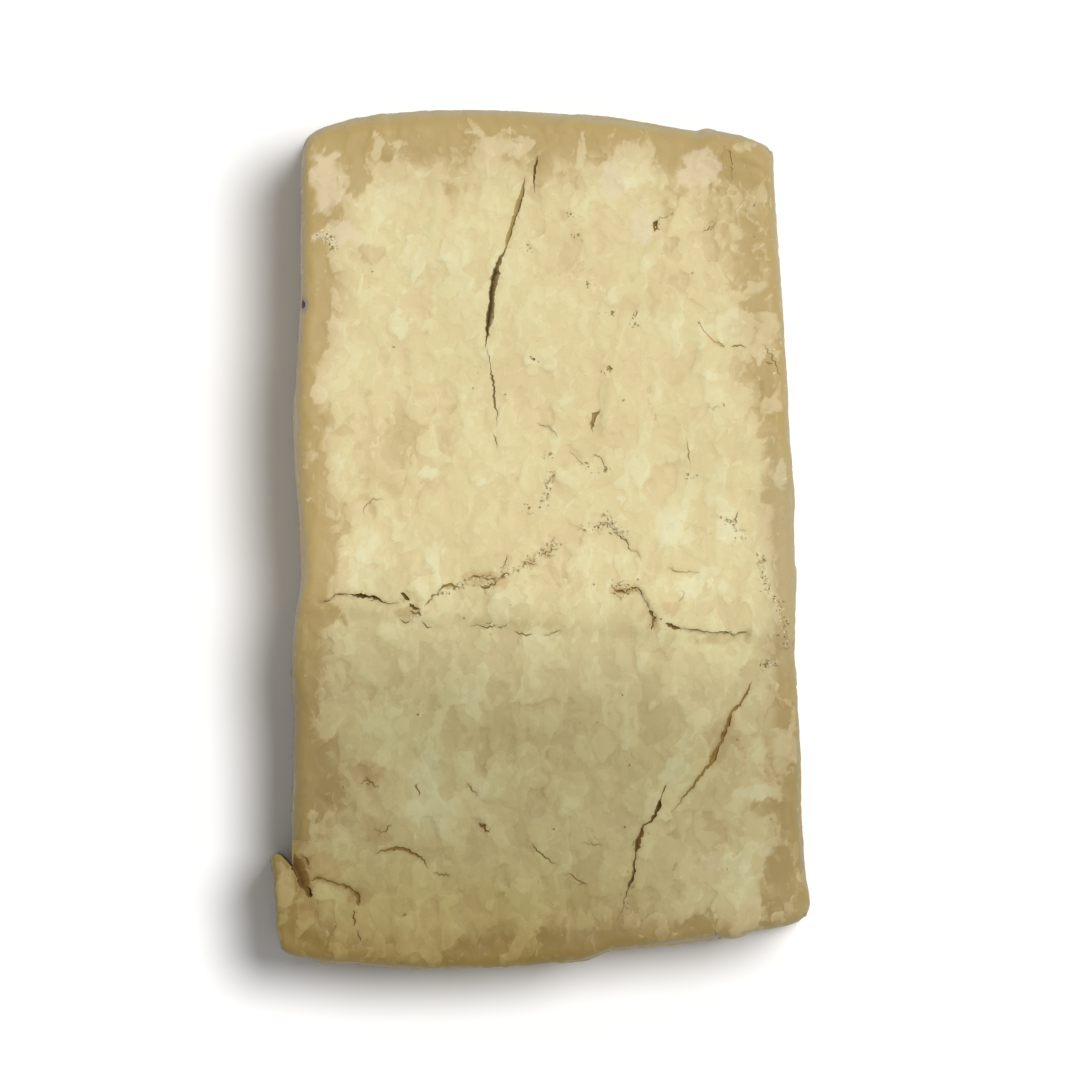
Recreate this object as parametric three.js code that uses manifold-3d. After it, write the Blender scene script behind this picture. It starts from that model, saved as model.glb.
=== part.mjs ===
// A chunk of mature cheddar, lying on a flat cut base with its broken face up.
// Millimetres, +Z up. The origin is on the base, under the middle of the chunk's box.
// +X runs across the face and +Y along it, from the split front corner to the crowned back end.
// The chunk is one solid: a pressed block with soft shoulders and curd relief,
// with the cracks, the notch over the split front left corner and a chip cut into it.
import * as THREE from 'three';
import { mergeVertices } from 'three/addons/utils/BufferGeometryUtils.js';
import Module from 'manifold-3d';

const wasm = await Module();
wasm.setup();

// Plan of the chunk: its four corners, and the bends that bow each side between them.
const BACK_LEFT = [-47.6, 79.4];
const BACK_RIGHT = [46.6, 77.9];
const FRONT_RIGHT = [53.2, -76.2];
const FRONT_LEFT = [-49.8, -82.8];
const BACK_BENDS = [[-38.7, 90.7], [28.7, 85.1]];
const FRONT_BENDS = [[-37.0, -89.2], [41.8, -83.6]];
const LEFT_BENDS = [[-49.3, -28.7], [-48.6, 26.7]];
const RIGHT_BENDS = [[50.6, -24.0], [50.2, 26.3]];

// Wear of the upright corners: how far along the sides it reaches, and how far in the corner goes.
const CORNER_WEAR = {
  frontLeft: { reach: 7, depth: 1.0 },
  frontRight: { reach: 7, depth: 1.3 },
  backLeft: { reach: 2.5, depth: 0.6 },
  backRight: { reach: 2.5, depth: 0.7 },
};

// Unevenness of the sides: a slow wave on the left, and a small step on the back and on the front.
// The steps die out before the right-hand corners, from the fade's share of the way along their side.
// The bumps are shallow bulges, or dents where they are below zero: their middle, reach and height.
const LEFT_WAVE = { depth: 0.5, length: 52, crest: 27 };
const BACK_STEP = { rise: 0.7, start: 31, end: 33 };
const FRONT_STEP = { rise: 1.7, start: 8, end: 15 };
const STEP_FADE = 0.9;
const LEFT_BUMPS = [
  { at: -6, reach: 15, out: -1.0 },
  { at: -35, reach: 9, out: -0.5 },
  { at: -57, reach: 13, out: 0.5 },
];
const RIGHT_BUMPS = [
  { at: 62, reach: 24, out: -0.6 },
  { at: 16, reach: 32, out: 0.4 },
  { at: -20, reach: 11, out: -0.3 },
  { at: -56, reach: 11, out: -0.5 },
  { at: -73, reach: 7, out: 0.9 },
];
const BACK_BUMPS = [
  { at: 24, reach: 10, out: -0.3 },
  { at: 43, reach: 8, out: 0.6 },
];
const FRONT_BUMPS = [
  { at: -46.5, reach: 3.5, out: -0.5 },
  { at: -37, reach: 9, out: -0.4 },
  { at: -10, reach: 22, out: 0.35 },
  { at: 38.6, reach: 4.5, out: 1.0 },
  { at: 44.5, reach: 4, out: 0.4 },
];

// The split corner is pushed outwards, more at its broken top edge than at its foot.
// Over it a notch goes right through the chunk: the notch's corners in plan, from the split over its worn tip.
const SPLIT = { top: -60.4, ramp: 0.6, kickAtTop: 4.6, kickAtFoot: 2.5 };
const NOTCH = [
  [-49.7, -65.6], [-51.6, -63.6], [-52.1, -63.2], [-52.8, -63.0], [-53.6, -63.2], [-54.2, -63.9], [-54.5, -65.2],
  [-60, -65.2], [-60, -57], [-49.7, -57],
];

// Heights: the back half of the face is level, and the front half falls away below a crease.
// The shoulders are rounded by these radii, and the fuller they are the less is rounded off where two meet.
const THICKNESS = 45;
const CREASE = { middle: -15.5, slant: -0.07, ledge: 0.9, ledgeRun: 4, fall: 0.1, softness: 5 };
const SHOULDER = { back: 4, left: 3.2, right: 3, front: 2.2, split: 1.4, fullness: 4 };
const FOOT = { inset: 1.6, height: 4 };
const SWELL = [{ rise: 0.7, size: 30 }, { rise: 0.4, size: 13 }];
const CURD = { across: 11, along: 16, lift: 0.55, tilt: 0.05 };
const WALL_SWELL = { rise: 0.7, size: 16 };

// Divisions of the block across, along and up, drawn closer together towards the sides.
const CELLS = { across: 38, along: 60, up: 9 };
const CROWDING = 0.4;

// The flat base is cut by a slab wider than the block, which starts with some waste below it.
const BASE_WASTE = 6;
const BASE_SLAB = { across: 200, along: 260 };

// Points closer than this are one point.
const WELD = 1e-4;

// The uneven values are repeatable draws, with a layer of their own for each use.
const SEED = 7;
const LAYER = { swell: 0, curdX: 10, curdY: 11, curdLift: 12, curdTilt: 13, wall: 20, gap: 30, jag: 31 };

// Cracks in the face: a few bends of each route, its widest gap and its depth.
// The route wanders between the bends by its jag, and closes to a hairline at both ends.
// The gap varies along it by the spread's share each way.
const CRACKS = [
  { route: [[-2.1, 71.4], [-5.3, 59.8], [-9.3, 50.8], [-10.9, 38.6]], gap: 1.9, depth: 4, jag: 0.3 },
  { route: [[-10.9, 38.9], [-9.9, 34.8], [-8.9, 24.2]], gap: 0.8, depth: 2, jag: 0.3 },
  { route: [[-0.7, 76.2], [-1.1, 73.4], [-0.9, 65.8]], gap: 0.8, depth: 2, jag: 0.2 },
  { route: [[-46.0, -13.4], [-41.1, -11.0], [-33.7, -11.6], [-22.9, -14.4]], gap: 1.4, depth: 3.5, jag: 0.5 },
  { route: [[-22.9, -14.4], [-18.9, -9.8], [-8.9, -8.2], [2.5, -1.2]], gap: 1.3, depth: 1.8, jag: 0.7 },
  { route: [[13.6, -10.4], [19.3, -9.6], [22.9, -16.4]], gap: 1.5, depth: 2.5, jag: 0.5 },
  { route: [[23.0, -15.8], [31.9, -18.4], [43.2, -19.2]], gap: 1.2, depth: 2.5, jag: 0.3 },
  { route: [[42.6, -26.2], [38.1, -36.6], [34.3, -45.4], [26.1, -54.8]], gap: 1.0, depth: 2.5, jag: 0.3 },
  { route: [[25.3, -48.6], [20.9, -57.4], [18.6, -67.0], [14.6, -77.8]], gap: 1.6, depth: 4, jag: 0.4 },
  { route: [[-34.0, -63.0], [-27.7, -61.8], [-22.1, -65.8]], gap: 1.2, depth: 2, jag: 0.3 },
  { route: [[-47.2, -69.4], [-42.0, -68.4], [-36.5, -71.8], [-36.7, -80.6]], gap: 1.4, depth: 3, jag: 0.4 },
  { route: [[-49.2, -63.6], [-47.6, -67.0], [-46.2, -71.4]], gap: 2.6, depth: 4, jag: 0.4 },
];

// A chip that breaks out through the front rim.
const CHIP = { route: [[36.2, -82.4], [35.4, -80.0], [34.6, -78.0]], gap: 1.6, depth: 12, jag: 0.2 };
const CRACK_STEP = 2.2;
const LEAST_STEPS = 4;
const LEAST_DROP = 1;
const GAP_SPREAD = 0.25;
const HAIRLINE = 0.12;
const BLADE_ABOVE = 3;

const { clamp, lerp, smoothstep } = THREE.MathUtils;

// A repeatable number from 0 to 1 for a lattice point.
function scatter(i, j, k) {
  let h = Math.imul(i, 374761393) + Math.imul(j, 668265263) + Math.imul(k + SEED, 2147483629);
  h = Math.imul(h ^ (h >>> 13), 1274126177);
  return ((h ^ (h >>> 16)) >>> 0) / 4294967296;
}

// Smooth lumps from -1 to 1 over a plane, about one unit apart.
function lumps(x, y, layer) {
  const i = Math.floor(x);
  const j = Math.floor(y);
  const u = smoothstep(x - i, 0, 1);
  const v = smoothstep(y - j, 0, 1);
  const near = lerp(scatter(i, j, layer), scatter(i + 1, j, layer), u);
  const far = lerp(scatter(i, j + 1, layer), scatter(i + 1, j + 1, layer), u);
  return 2 * lerp(near, far, v) - 1;
}

// The pressed curds: flat plates, each a little higher or lower than the next and slightly tipped.
function curdLift(x, y) {
  const column = Math.floor(x / CURD.across);
  const row = Math.floor(y / CURD.along);
  let nearest = Infinity;
  let lift = 0;
  for (let i = column - 1; i <= column + 1; i++) {
    for (let j = row - 1; j <= row + 1; j++) {
      const dx = x - (i + scatter(i, j, LAYER.curdX)) * CURD.across;
      const dy = y - (j + scatter(i, j, LAYER.curdY)) * CURD.along;
      const distance = Math.hypot(dx / CURD.across, dy / CURD.along);
      if (distance < nearest) {
        nearest = distance;
        const tilt = CURD.tilt * (2 * scatter(i, j, LAYER.curdTilt) - 1);
        lift = CURD.lift * (2 * scatter(i, j, LAYER.curdLift) - 1) + tilt * dx;
      }
    }
  }
  return lift;
}

// Height of the face away from the shoulders.
function faceHeight(x, y) {
  const below = CREASE.middle + CREASE.slant * x - y;
  const bend = CREASE.softness * Math.log1p(Math.exp(below / CREASE.softness));
  const ledge = CREASE.ledge * smoothstep(below, 0, CREASE.ledgeRun);
  let z = THICKNESS - CREASE.fall * bend - ledge + curdLift(x, y);
  SWELL.forEach(({ rise, size }, n) => (z += rise * lumps(x / size, y / size, LAYER.swell + n)));
  return z;
}

function curveBetween(from, bends, to) {
  return new THREE.CubicBezierCurve(...[from, ...bends, to].map(([x, y]) => new THREE.Vector2(x, y)));
}

const backCurve = curveBetween(BACK_LEFT, BACK_BENDS, BACK_RIGHT);
const frontCurve = curveBetween([FRONT_LEFT[0] - SPLIT.kickAtFoot, FRONT_LEFT[1]], FRONT_BENDS, FRONT_RIGHT);
const leftCurve = curveBetween(FRONT_LEFT, LEFT_BENDS, BACK_LEFT);
const rightCurve = curveBetween(FRONT_RIGHT, RIGHT_BENDS, BACK_RIGHT);

// How far a side's bumps stand out at a place along it.
function bumpsOut(bumps, place) {
  return bumps.reduce((sum, { at, reach, out }) => sum + out * (1 - smoothstep(Math.abs(place - at), 0, reach)), 0);
}

// How far a small step in a side stands out at x, for the share s of the way along the side.
function sideStep({ rise, start, end }, x, s) {
  return rise * smoothstep(x, start, end) * (1 - smoothstep(s, STEP_FADE, 1));
}

function backSide(s) {
  const p = backCurve.getPointAt(s);
  p.y += sideStep(BACK_STEP, p.x, s) + bumpsOut(BACK_BUMPS, p.x);
  return p;
}

function frontSide(s) {
  const p = frontCurve.getPointAt(s);
  p.y += sideStep(FRONT_STEP, p.x, s) - bumpsOut(FRONT_BUMPS, p.x);
  return p;
}

// 1 on the split corner's stretch of the left side, and 0 on the rest of it.
function splitShare(y) {
  return 1 - smoothstep(y, SPLIT.top - SPLIT.ramp, SPLIT.top + SPLIT.ramp);
}

function leftSide(t) {
  const p = leftCurve.getPointAt(t);
  const wave = Math.cos((2 * Math.PI * (p.y - LEFT_WAVE.crest)) / LEFT_WAVE.length);
  const up = clamp((p.y - FRONT_LEFT[1]) / (SPLIT.top - FRONT_LEFT[1]), 0, 1);
  const kick = lerp(SPLIT.kickAtFoot, SPLIT.kickAtTop, up);
  p.x -= LEFT_WAVE.depth * wave * Math.sin(Math.PI * t) + kick * splitShare(p.y) + bumpsOut(LEFT_BUMPS, p.y);
  return p;
}

function rightSide(t) {
  const p = rightCurve.getPointAt(t);
  p.x += bumpsOut(RIGHT_BUMPS, p.y);
  return p;
}

// A point of the plan from its share of the way across (s) and along (t), blended from the four sides.
function planPoint(s, t) {
  const [front, back, left, right] = [frontSide(s), backSide(s), leftSide(t), rightSide(t)];
  const corners = [frontSide(0), frontSide(1), backSide(0), backSide(1)];
  const [fl, fr, bl, br] = corners;
  const blend = (axis) =>
    lerp(front[axis], back[axis], t) + lerp(left[axis], right[axis], s) -
    lerp(lerp(fl[axis], fr[axis], s), lerp(bl[axis], br[axis], s), t);
  return wearCorners(new THREE.Vector2(blend('x'), blend('y')), corners);
}

// Rounds the upright corners of the plan by drawing what is near them towards the middle.
function wearCorners(p, corners) {
  const { frontLeft, frontRight, backLeft, backRight } = CORNER_WEAR;
  [frontLeft, frontRight, backLeft, backRight].forEach(({ reach, depth }, n) => {
    const near = clamp(1 - p.distanceTo(corners[n]) / reach, 0, 1);
    p.addScaledVector(corners[n].clone().normalize(), -depth * near * near);
  });
  return p;
}

// How far the soft shoulders fall below the face at a place in the plan.
function shoulderDrop(s, t) {
  const width = rightSide(t).x - leftSide(t).x;
  const length = backSide(s).y - frontSide(s).y;
  const into = (distance, radius) => Math.max(0, 1 - distance / radius);
  const leftRadius = lerp(SHOULDER.left, SHOULDER.split, splitShare(leftSide(t).y));
  const sideways = [[s * width, leftRadius], [(1 - s) * width, SHOULDER.right]];
  const endways = [[t * length, SHOULDER.front], [(1 - t) * length, SHOULDER.back]];
  const fall = (pairs) => {
    const depths = pairs.map(([distance, radius]) => ({ share: into(distance, radius), radius }));
    return depths[0].share > depths[1].share ? depths[0] : depths[1];
  };
  const [a, b] = [fall(sideways), fall(endways)];
  const { fullness } = SHOULDER;
  const share = Math.min(1, (a.share ** fullness + b.share ** fullness) ** (1 / fullness));
  if (share === 0) return 0;
  const radius = (a.share * a.radius + b.share * b.radius) / (a.share + b.share);
  return radius * (1 - Math.sqrt(1 - share * share));
}

// Draws even divisions closer together towards 0 and 1.
function crowd(share) {
  return share - (CROWDING * Math.sin(2 * Math.PI * share)) / (2 * Math.PI);
}

// A closed three.js geometry as a solid that can be cut.
function solidFrom(geometry) {
  const bare = new THREE.BufferGeometry().setAttribute('position', geometry.getAttribute('position'));
  bare.setIndex(geometry.getIndex());
  const merged = mergeVertices(bare, WELD);
  const triVerts = new Uint32Array(merged.index.array);
  return new wasm.Manifold(
    new wasm.Mesh({ numProp: 3, vertProperties: merged.attributes.position.array, triVerts }));
}

function geometryFrom(solid) {
  const { vertProperties, triVerts } = solid.getMesh();
  const geometry = new THREE.BufferGeometry();
  geometry.setAttribute('position', new THREE.BufferAttribute(vertProperties, 3));
  geometry.setIndex(new THREE.BufferAttribute(triVerts, 1));
  geometry.computeVertexNormals();
  return geometry;
}

// The block before it is cut: a box lattice drawn out to the plan, the shoulders and the face.
function pressedBlock() {
  const geometry = new THREE.BoxGeometry(1, 1, 1, CELLS.across, CELLS.along, CELLS.up);
  const position = geometry.getAttribute('position');
  for (let n = 0; n < position.count; n++) {
    const s = crowd(position.getX(n) + 0.5);
    const t = crowd(position.getY(n) + 0.5);
    const up = position.getZ(n) + 0.5;
    const plan = planPoint(s, t);
    const rim = faceHeight(plan.x, plan.y) - shoulderDrop(s, t);
    const z = lerp(-BASE_WASTE, rim, up);
    const foot = FOOT.inset * (1 - smoothstep(z, 0, FOOT.height));
    const round = plan.x - plan.y;
    const lump = WALL_SWELL.rise * lumps(round / WALL_SWELL.size, z / WALL_SWELL.size, LAYER.wall);
    const swell = Math.sin(Math.PI * up) * (lump + curdLift(round, z));
    const out = plan.clone().normalize().multiplyScalar(swell - foot);
    position.setXYZ(n, plan.x + out.x, plan.y + out.y, z);
  }
  return solidFrom(geometry);
}

// A crack's cutting blade: a wedge along the route, widest in the middle of its length.
function blade({ route, gap, depth, jag }, number, opensAtStart) {
  const curve = new THREE.SplineCurve(route.map(([x, y]) => new THREE.Vector2(x, y)));
  const steps = Math.max(LEAST_STEPS, Math.round(curve.getLength() / CRACK_STEP));
  const points = [];
  for (let n = 0; n <= steps; n++) {
    const u = n / steps;
    const at = curve.getPointAt(u);
    const along = curve.getTangentAt(u);
    const across = new THREE.Vector2(-along.y, along.x);
    const open = opensAtStart ? Math.sqrt(1 - u) : Math.sqrt(Math.sin(Math.PI * u));
    const spread = 1 + GAP_SPREAD * (2 * scatter(n, number, LAYER.gap) - 1);
    const half = Math.max(HAIRLINE, gap * open * spread) / 2;
    const drop = Math.max(LEAST_DROP, depth * open);
    at.addScaledVector(across, jag * open * (2 * scatter(n, number, LAYER.jag) - 1));
    const surface = faceHeight(at.x, at.y);
    const flare = half * (1 + BLADE_ABOVE / drop);
    points.push(
      at.x - across.x * flare, at.y - across.y * flare, surface + BLADE_ABOVE,
      at.x, at.y, surface - drop,
      at.x + across.x * flare, at.y + across.y * flare, surface + BLADE_ABOVE);
  }
  return solidFrom(wedgeGeometry(points, steps));
}

// Joins three-cornered sections into a closed wedge with flat ends.
function wedgeGeometry(points, steps) {
  const index = [0, 2, 1, 3 * steps, 3 * steps + 1, 3 * steps + 2];
  for (let n = 0; n < steps; n++) {
    for (let corner = 0; corner < 3; corner++) {
      const a = 3 * n + corner;
      const b = 3 * n + ((corner + 1) % 3);
      index.push(a, b, b + 3, a, b + 3, a + 3);
    }
  }
  const geometry = new THREE.BufferGeometry();
  geometry.setAttribute('position', new THREE.Float32BufferAttribute(points, 3));
  geometry.setIndex(index);
  return geometry;
}

// The flat cut of the base takes off everything below the origin.
function baseCut() {
  const slab = new THREE.BoxGeometry(BASE_SLAB.across, BASE_SLAB.along, 4 * BASE_WASTE);
  slab.translate(0, 0, -2 * BASE_WASTE);
  return solidFrom(slab);
}

// The notch over the split corner, from below the base to above the face.
function notchCut() {
  const outline = new THREE.Shape(NOTCH.map(([x, y]) => new THREE.Vector2(x, y)));
  const prism = new THREE.ExtrudeGeometry(outline, { depth: 2 * THICKNESS, bevelEnabled: false });
  prism.translate(0, 0, -THICKNESS / 2);
  return solidFrom(prism);
}

let chunk = pressedBlock().subtract(baseCut()).subtract(notchCut());
CRACKS.forEach((crack, n) => (chunk = chunk.subtract(blade(crack, n, false))));
chunk = chunk.subtract(blade(CHIP, CRACKS.length, true));

const cheese = new THREE.MeshStandardMaterial({ color: 0xdccb98, roughness: 0.6, metalness: 0 });
const mesh = new THREE.Mesh(geometryFrom(chunk), cheese);
mesh.name = 'cheddar_chunk';

const part = new THREE.Group();
part.name = 'cheddar';
part.add(mesh);
export default part;
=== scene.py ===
"""Dresses the cheddar chunk: a crumbly block of mature cheese, seen from straight above on a pale floor.

The block is pressed out of a lattice to the same plan and heights as the CAD solid, then its cracks and
pits are cut, and its curds, flakes and browned margins are written to the mesh for the finish to read.
Lengths are millimetres in the frame's axes, and become metres when a mesh is written.
"""

import itertools
import logging
import math
from dataclasses import dataclass, field
from enum import Enum, auto

import bpy
import numpy as np
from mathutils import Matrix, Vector
from mathutils.bvhtree import BVHTree


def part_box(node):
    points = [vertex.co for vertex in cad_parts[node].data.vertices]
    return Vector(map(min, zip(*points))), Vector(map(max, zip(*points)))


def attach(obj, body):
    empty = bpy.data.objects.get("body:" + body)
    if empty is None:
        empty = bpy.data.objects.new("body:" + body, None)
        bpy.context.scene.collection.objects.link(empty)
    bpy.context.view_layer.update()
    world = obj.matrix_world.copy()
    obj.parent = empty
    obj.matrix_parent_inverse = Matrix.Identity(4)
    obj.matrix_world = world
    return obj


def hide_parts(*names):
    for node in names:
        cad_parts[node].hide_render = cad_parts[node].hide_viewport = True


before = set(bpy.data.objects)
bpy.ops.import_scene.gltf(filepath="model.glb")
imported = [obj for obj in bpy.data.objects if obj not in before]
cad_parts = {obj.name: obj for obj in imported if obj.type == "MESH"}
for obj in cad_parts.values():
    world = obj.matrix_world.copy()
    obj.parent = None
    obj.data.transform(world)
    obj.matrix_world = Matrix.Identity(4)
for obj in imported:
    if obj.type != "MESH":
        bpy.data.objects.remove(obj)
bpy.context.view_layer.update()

MM = 0.001
SEED = 7
NODE = "cheddar_chunk"
SIDE_POINTS = 601
log = logging.getLogger("cheddar")

Spot = tuple[float, float]
Bump = tuple[float, float, float]
Colour = tuple[float, float, float, float]
Socket = bpy.types.NodeSocket


class Layer(Enum):
    """The repeatable draws, one for each uneven thing, so that none follows another."""

    SWELL = 0
    CURD_X = 10
    CURD_Y = 11
    CURD_LIFT = 12
    CURD_TILT = 13
    WALL = 20
    GAP = 30
    JAG = 31
    KINK = 35
    LEFT_LIP = 36
    RIGHT_LIP = 37
    CURD_TONE = 40
    FLAKE_TEAR = 65
    MARGIN = 80


class Wall(Enum):
    """The four walls."""

    FRONT = auto()
    RIGHT = auto()
    BACK = auto()
    LEFT = auto()


class Curd(Enum):
    """What a patch of the face is: pale flake, creamy, bare, waxy or ochre curd, or a pinkish dry flake."""

    FLAKE = 1.0
    CREAM = 0.45
    BARE = -1.0
    WAXY = -0.5
    OCHRE = -0.3
    BLUSH = 0.9


def linear(colour: str) -> Colour:
    """Turns an sRGB hex colour into linear light.

    Args:
        colour: The colour as "#rrggbb".

    Returns:
        Red, green, blue and an alpha of one.
    """
    shares = [int(colour[n:n + 2], 16) / 255 for n in (1, 3, 5)]
    light = [s / 12.92 if s <= 0.04045 else ((s + 0.055) / 1.055) ** 2.4 for s in shares]
    return (*light, 1.0)


def smoothstep(value: np.ndarray, start: float, end: float) -> np.ndarray:
    """Goes smoothly from 0 at start to 1 at end."""
    share = np.clip((value - start) / (end - start), 0, 1)
    return share * share * (3 - 2 * share)


def mix(low: np.ndarray, high: np.ndarray, share: np.ndarray) -> np.ndarray:
    """Goes straight from low to high."""
    return low + (high - low) * share


def scatter(layer: int, *cells: np.ndarray) -> np.ndarray:
    """Gives a repeatable number from 0 to 1 for each lattice cell.

    Args:
        layer: Which draw it is.
        cells: The cells' whole-number coordinates, one array for each direction.

    Returns:
        One number for each cell.
    """
    mixed = np.full(np.shape(cells[0]), (layer + SEED) * 2147483629 % 2**32, np.uint32)
    for cell, prime in zip(cells, (374761393, 668265263, 1103515245)):
        mixed = mixed + np.asarray(cell).astype(np.int64).astype(np.uint32) * np.uint32(prime)
    mixed = (mixed ^ (mixed >> np.uint32(13))) * np.uint32(1274126177)
    return (mixed ^ (mixed >> np.uint32(16))) / 2**32


def lumps(places: np.ndarray, layer: int) -> np.ndarray:
    """Gives smooth lumps from -1 to 1, about one unit apart, over a plane or a space.

    Args:
        places: One row for each place.
        layer: Which draw it is.

    Returns:
        One height for each place.
    """
    cell = np.floor(places)
    share = smoothstep(places - cell, 0, 1)
    height = np.zeros(len(places))
    for corner in itertools.product((0, 1), repeat=places.shape[1]):
        weight = np.prod(np.where(corner, share, 1 - share), axis=1)
        height += weight * scatter(layer, *(cell + corner).T)
    return 2 * height - 1


def rough(places: np.ndarray, layer: int, octaves: int = 3, keep: float = 0.55) -> np.ndarray:
    """Gives lumps upon lumps, each layer of half the size of the one before.

    Args:
        places: One row for each place.
        layer: Which draw the first layer is.
        octaves: How many layers there are.
        keep: The height of each layer as a share of the one before.

    Returns:
        One height for each place.
    """
    return sum(keep**n * lumps(places * 2**n, layer + n) for n in range(octaves))


def deselect() -> None:
    """Leaves object mode with nothing selected."""
    if bpy.context.mode != "OBJECT":
        bpy.ops.object.mode_set(mode="OBJECT")
    bpy.ops.object.select_all(action="DESELECT")


def take_up(piece: bpy.types.Object) -> None:
    """Selects one piece alone and makes it the active one."""
    deselect()
    piece.select_set(True)
    bpy.context.view_layer.objects.active = piece


def face_outwards() -> None:
    """Turns all faces of the active piece outwards and leaves it in object mode."""
    bpy.ops.object.mode_set(mode="EDIT")
    bpy.ops.mesh.select_all(action="SELECT")
    bpy.ops.mesh.normals_make_consistent(inside=False)
    bpy.ops.object.mode_set(mode="OBJECT")


def corners_of(straight: np.ndarray, count: int) -> np.ndarray:
    """Finds which upright edge of a cylinder each of its vertices is on.

    Args:
        straight: The vertices of the cylinder, as it was added.
        count: How many upright edges it has.

    Returns:
        One number for each vertex, counted round from the first vertex.
    """
    turn = np.arctan2(straight[:, 1], straight[:, 0]) / (2 * math.pi) * count
    return np.rint(turn - turn[0]).astype(int) % count


def places_of(piece: bpy.types.Object) -> np.ndarray:
    """Reads a mesh's vertices in millimetres."""
    flat = np.empty(len(piece.data.vertices) * 3, np.float32)
    piece.data.vertices.foreach_get("co", flat)
    return flat.reshape(-1, 3).astype(float) / MM


def normals_of(piece: bpy.types.Object) -> np.ndarray:
    """Reads a mesh's vertex normals."""
    flat = np.empty(len(piece.data.vertices) * 3, np.float32)
    piece.data.vertex_normals.foreach_get("vector", flat)
    return flat.reshape(-1, 3).astype(float)


def move_to(piece: bpy.types.Object, places: np.ndarray) -> None:
    """Writes a mesh's vertices, given in millimetres."""
    piece.data.vertices.foreach_set("co", (places * MM).astype(np.float32).ravel())
    piece.data.update()


def write_field(piece: bpy.types.Object, name: str, values: np.ndarray, domain: str = "POINT") -> None:
    """Writes one number for each vertex, or each face, for a finish to read by name."""
    spread = piece.data.attributes.new(name, "FLOAT", domain)
    spread.data.foreach_set("value", values.astype(np.float32))


class SideCurve:
    """One side of the plan: a cubic curve that is walked at an even pace."""

    def __init__(self, start: Spot, bends: tuple[Spot, Spot], end: Spot) -> None:
        """Walks the curve once, to know how far each of its points is along it.

        Args:
            start: The corner that it starts from.
            bends: The two points that it bends towards.
            end: The corner that it ends at.
        """
        t = np.linspace(0, 1, SIDE_POINTS)[:, None]
        a, b, c, d = (np.array(point, float) for point in (start, *bends, end))
        self.points = (1 - t)**3 * a + 3 * (1 - t)**2 * t * b + 3 * (1 - t) * t**2 * c + t**3 * d
        steps = np.hypot(*np.diff(self.points, axis=0).T)
        self.walked = np.concatenate([[0], np.cumsum(steps)]) / steps.sum()

    def at(self, share: np.ndarray) -> np.ndarray:
        """Gives the points at these shares of the way along."""
        columns = [np.interp(share, self.walked, self.points[:, axis]) for axis in (0, 1)]
        return np.stack(columns, axis=1)


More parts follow.
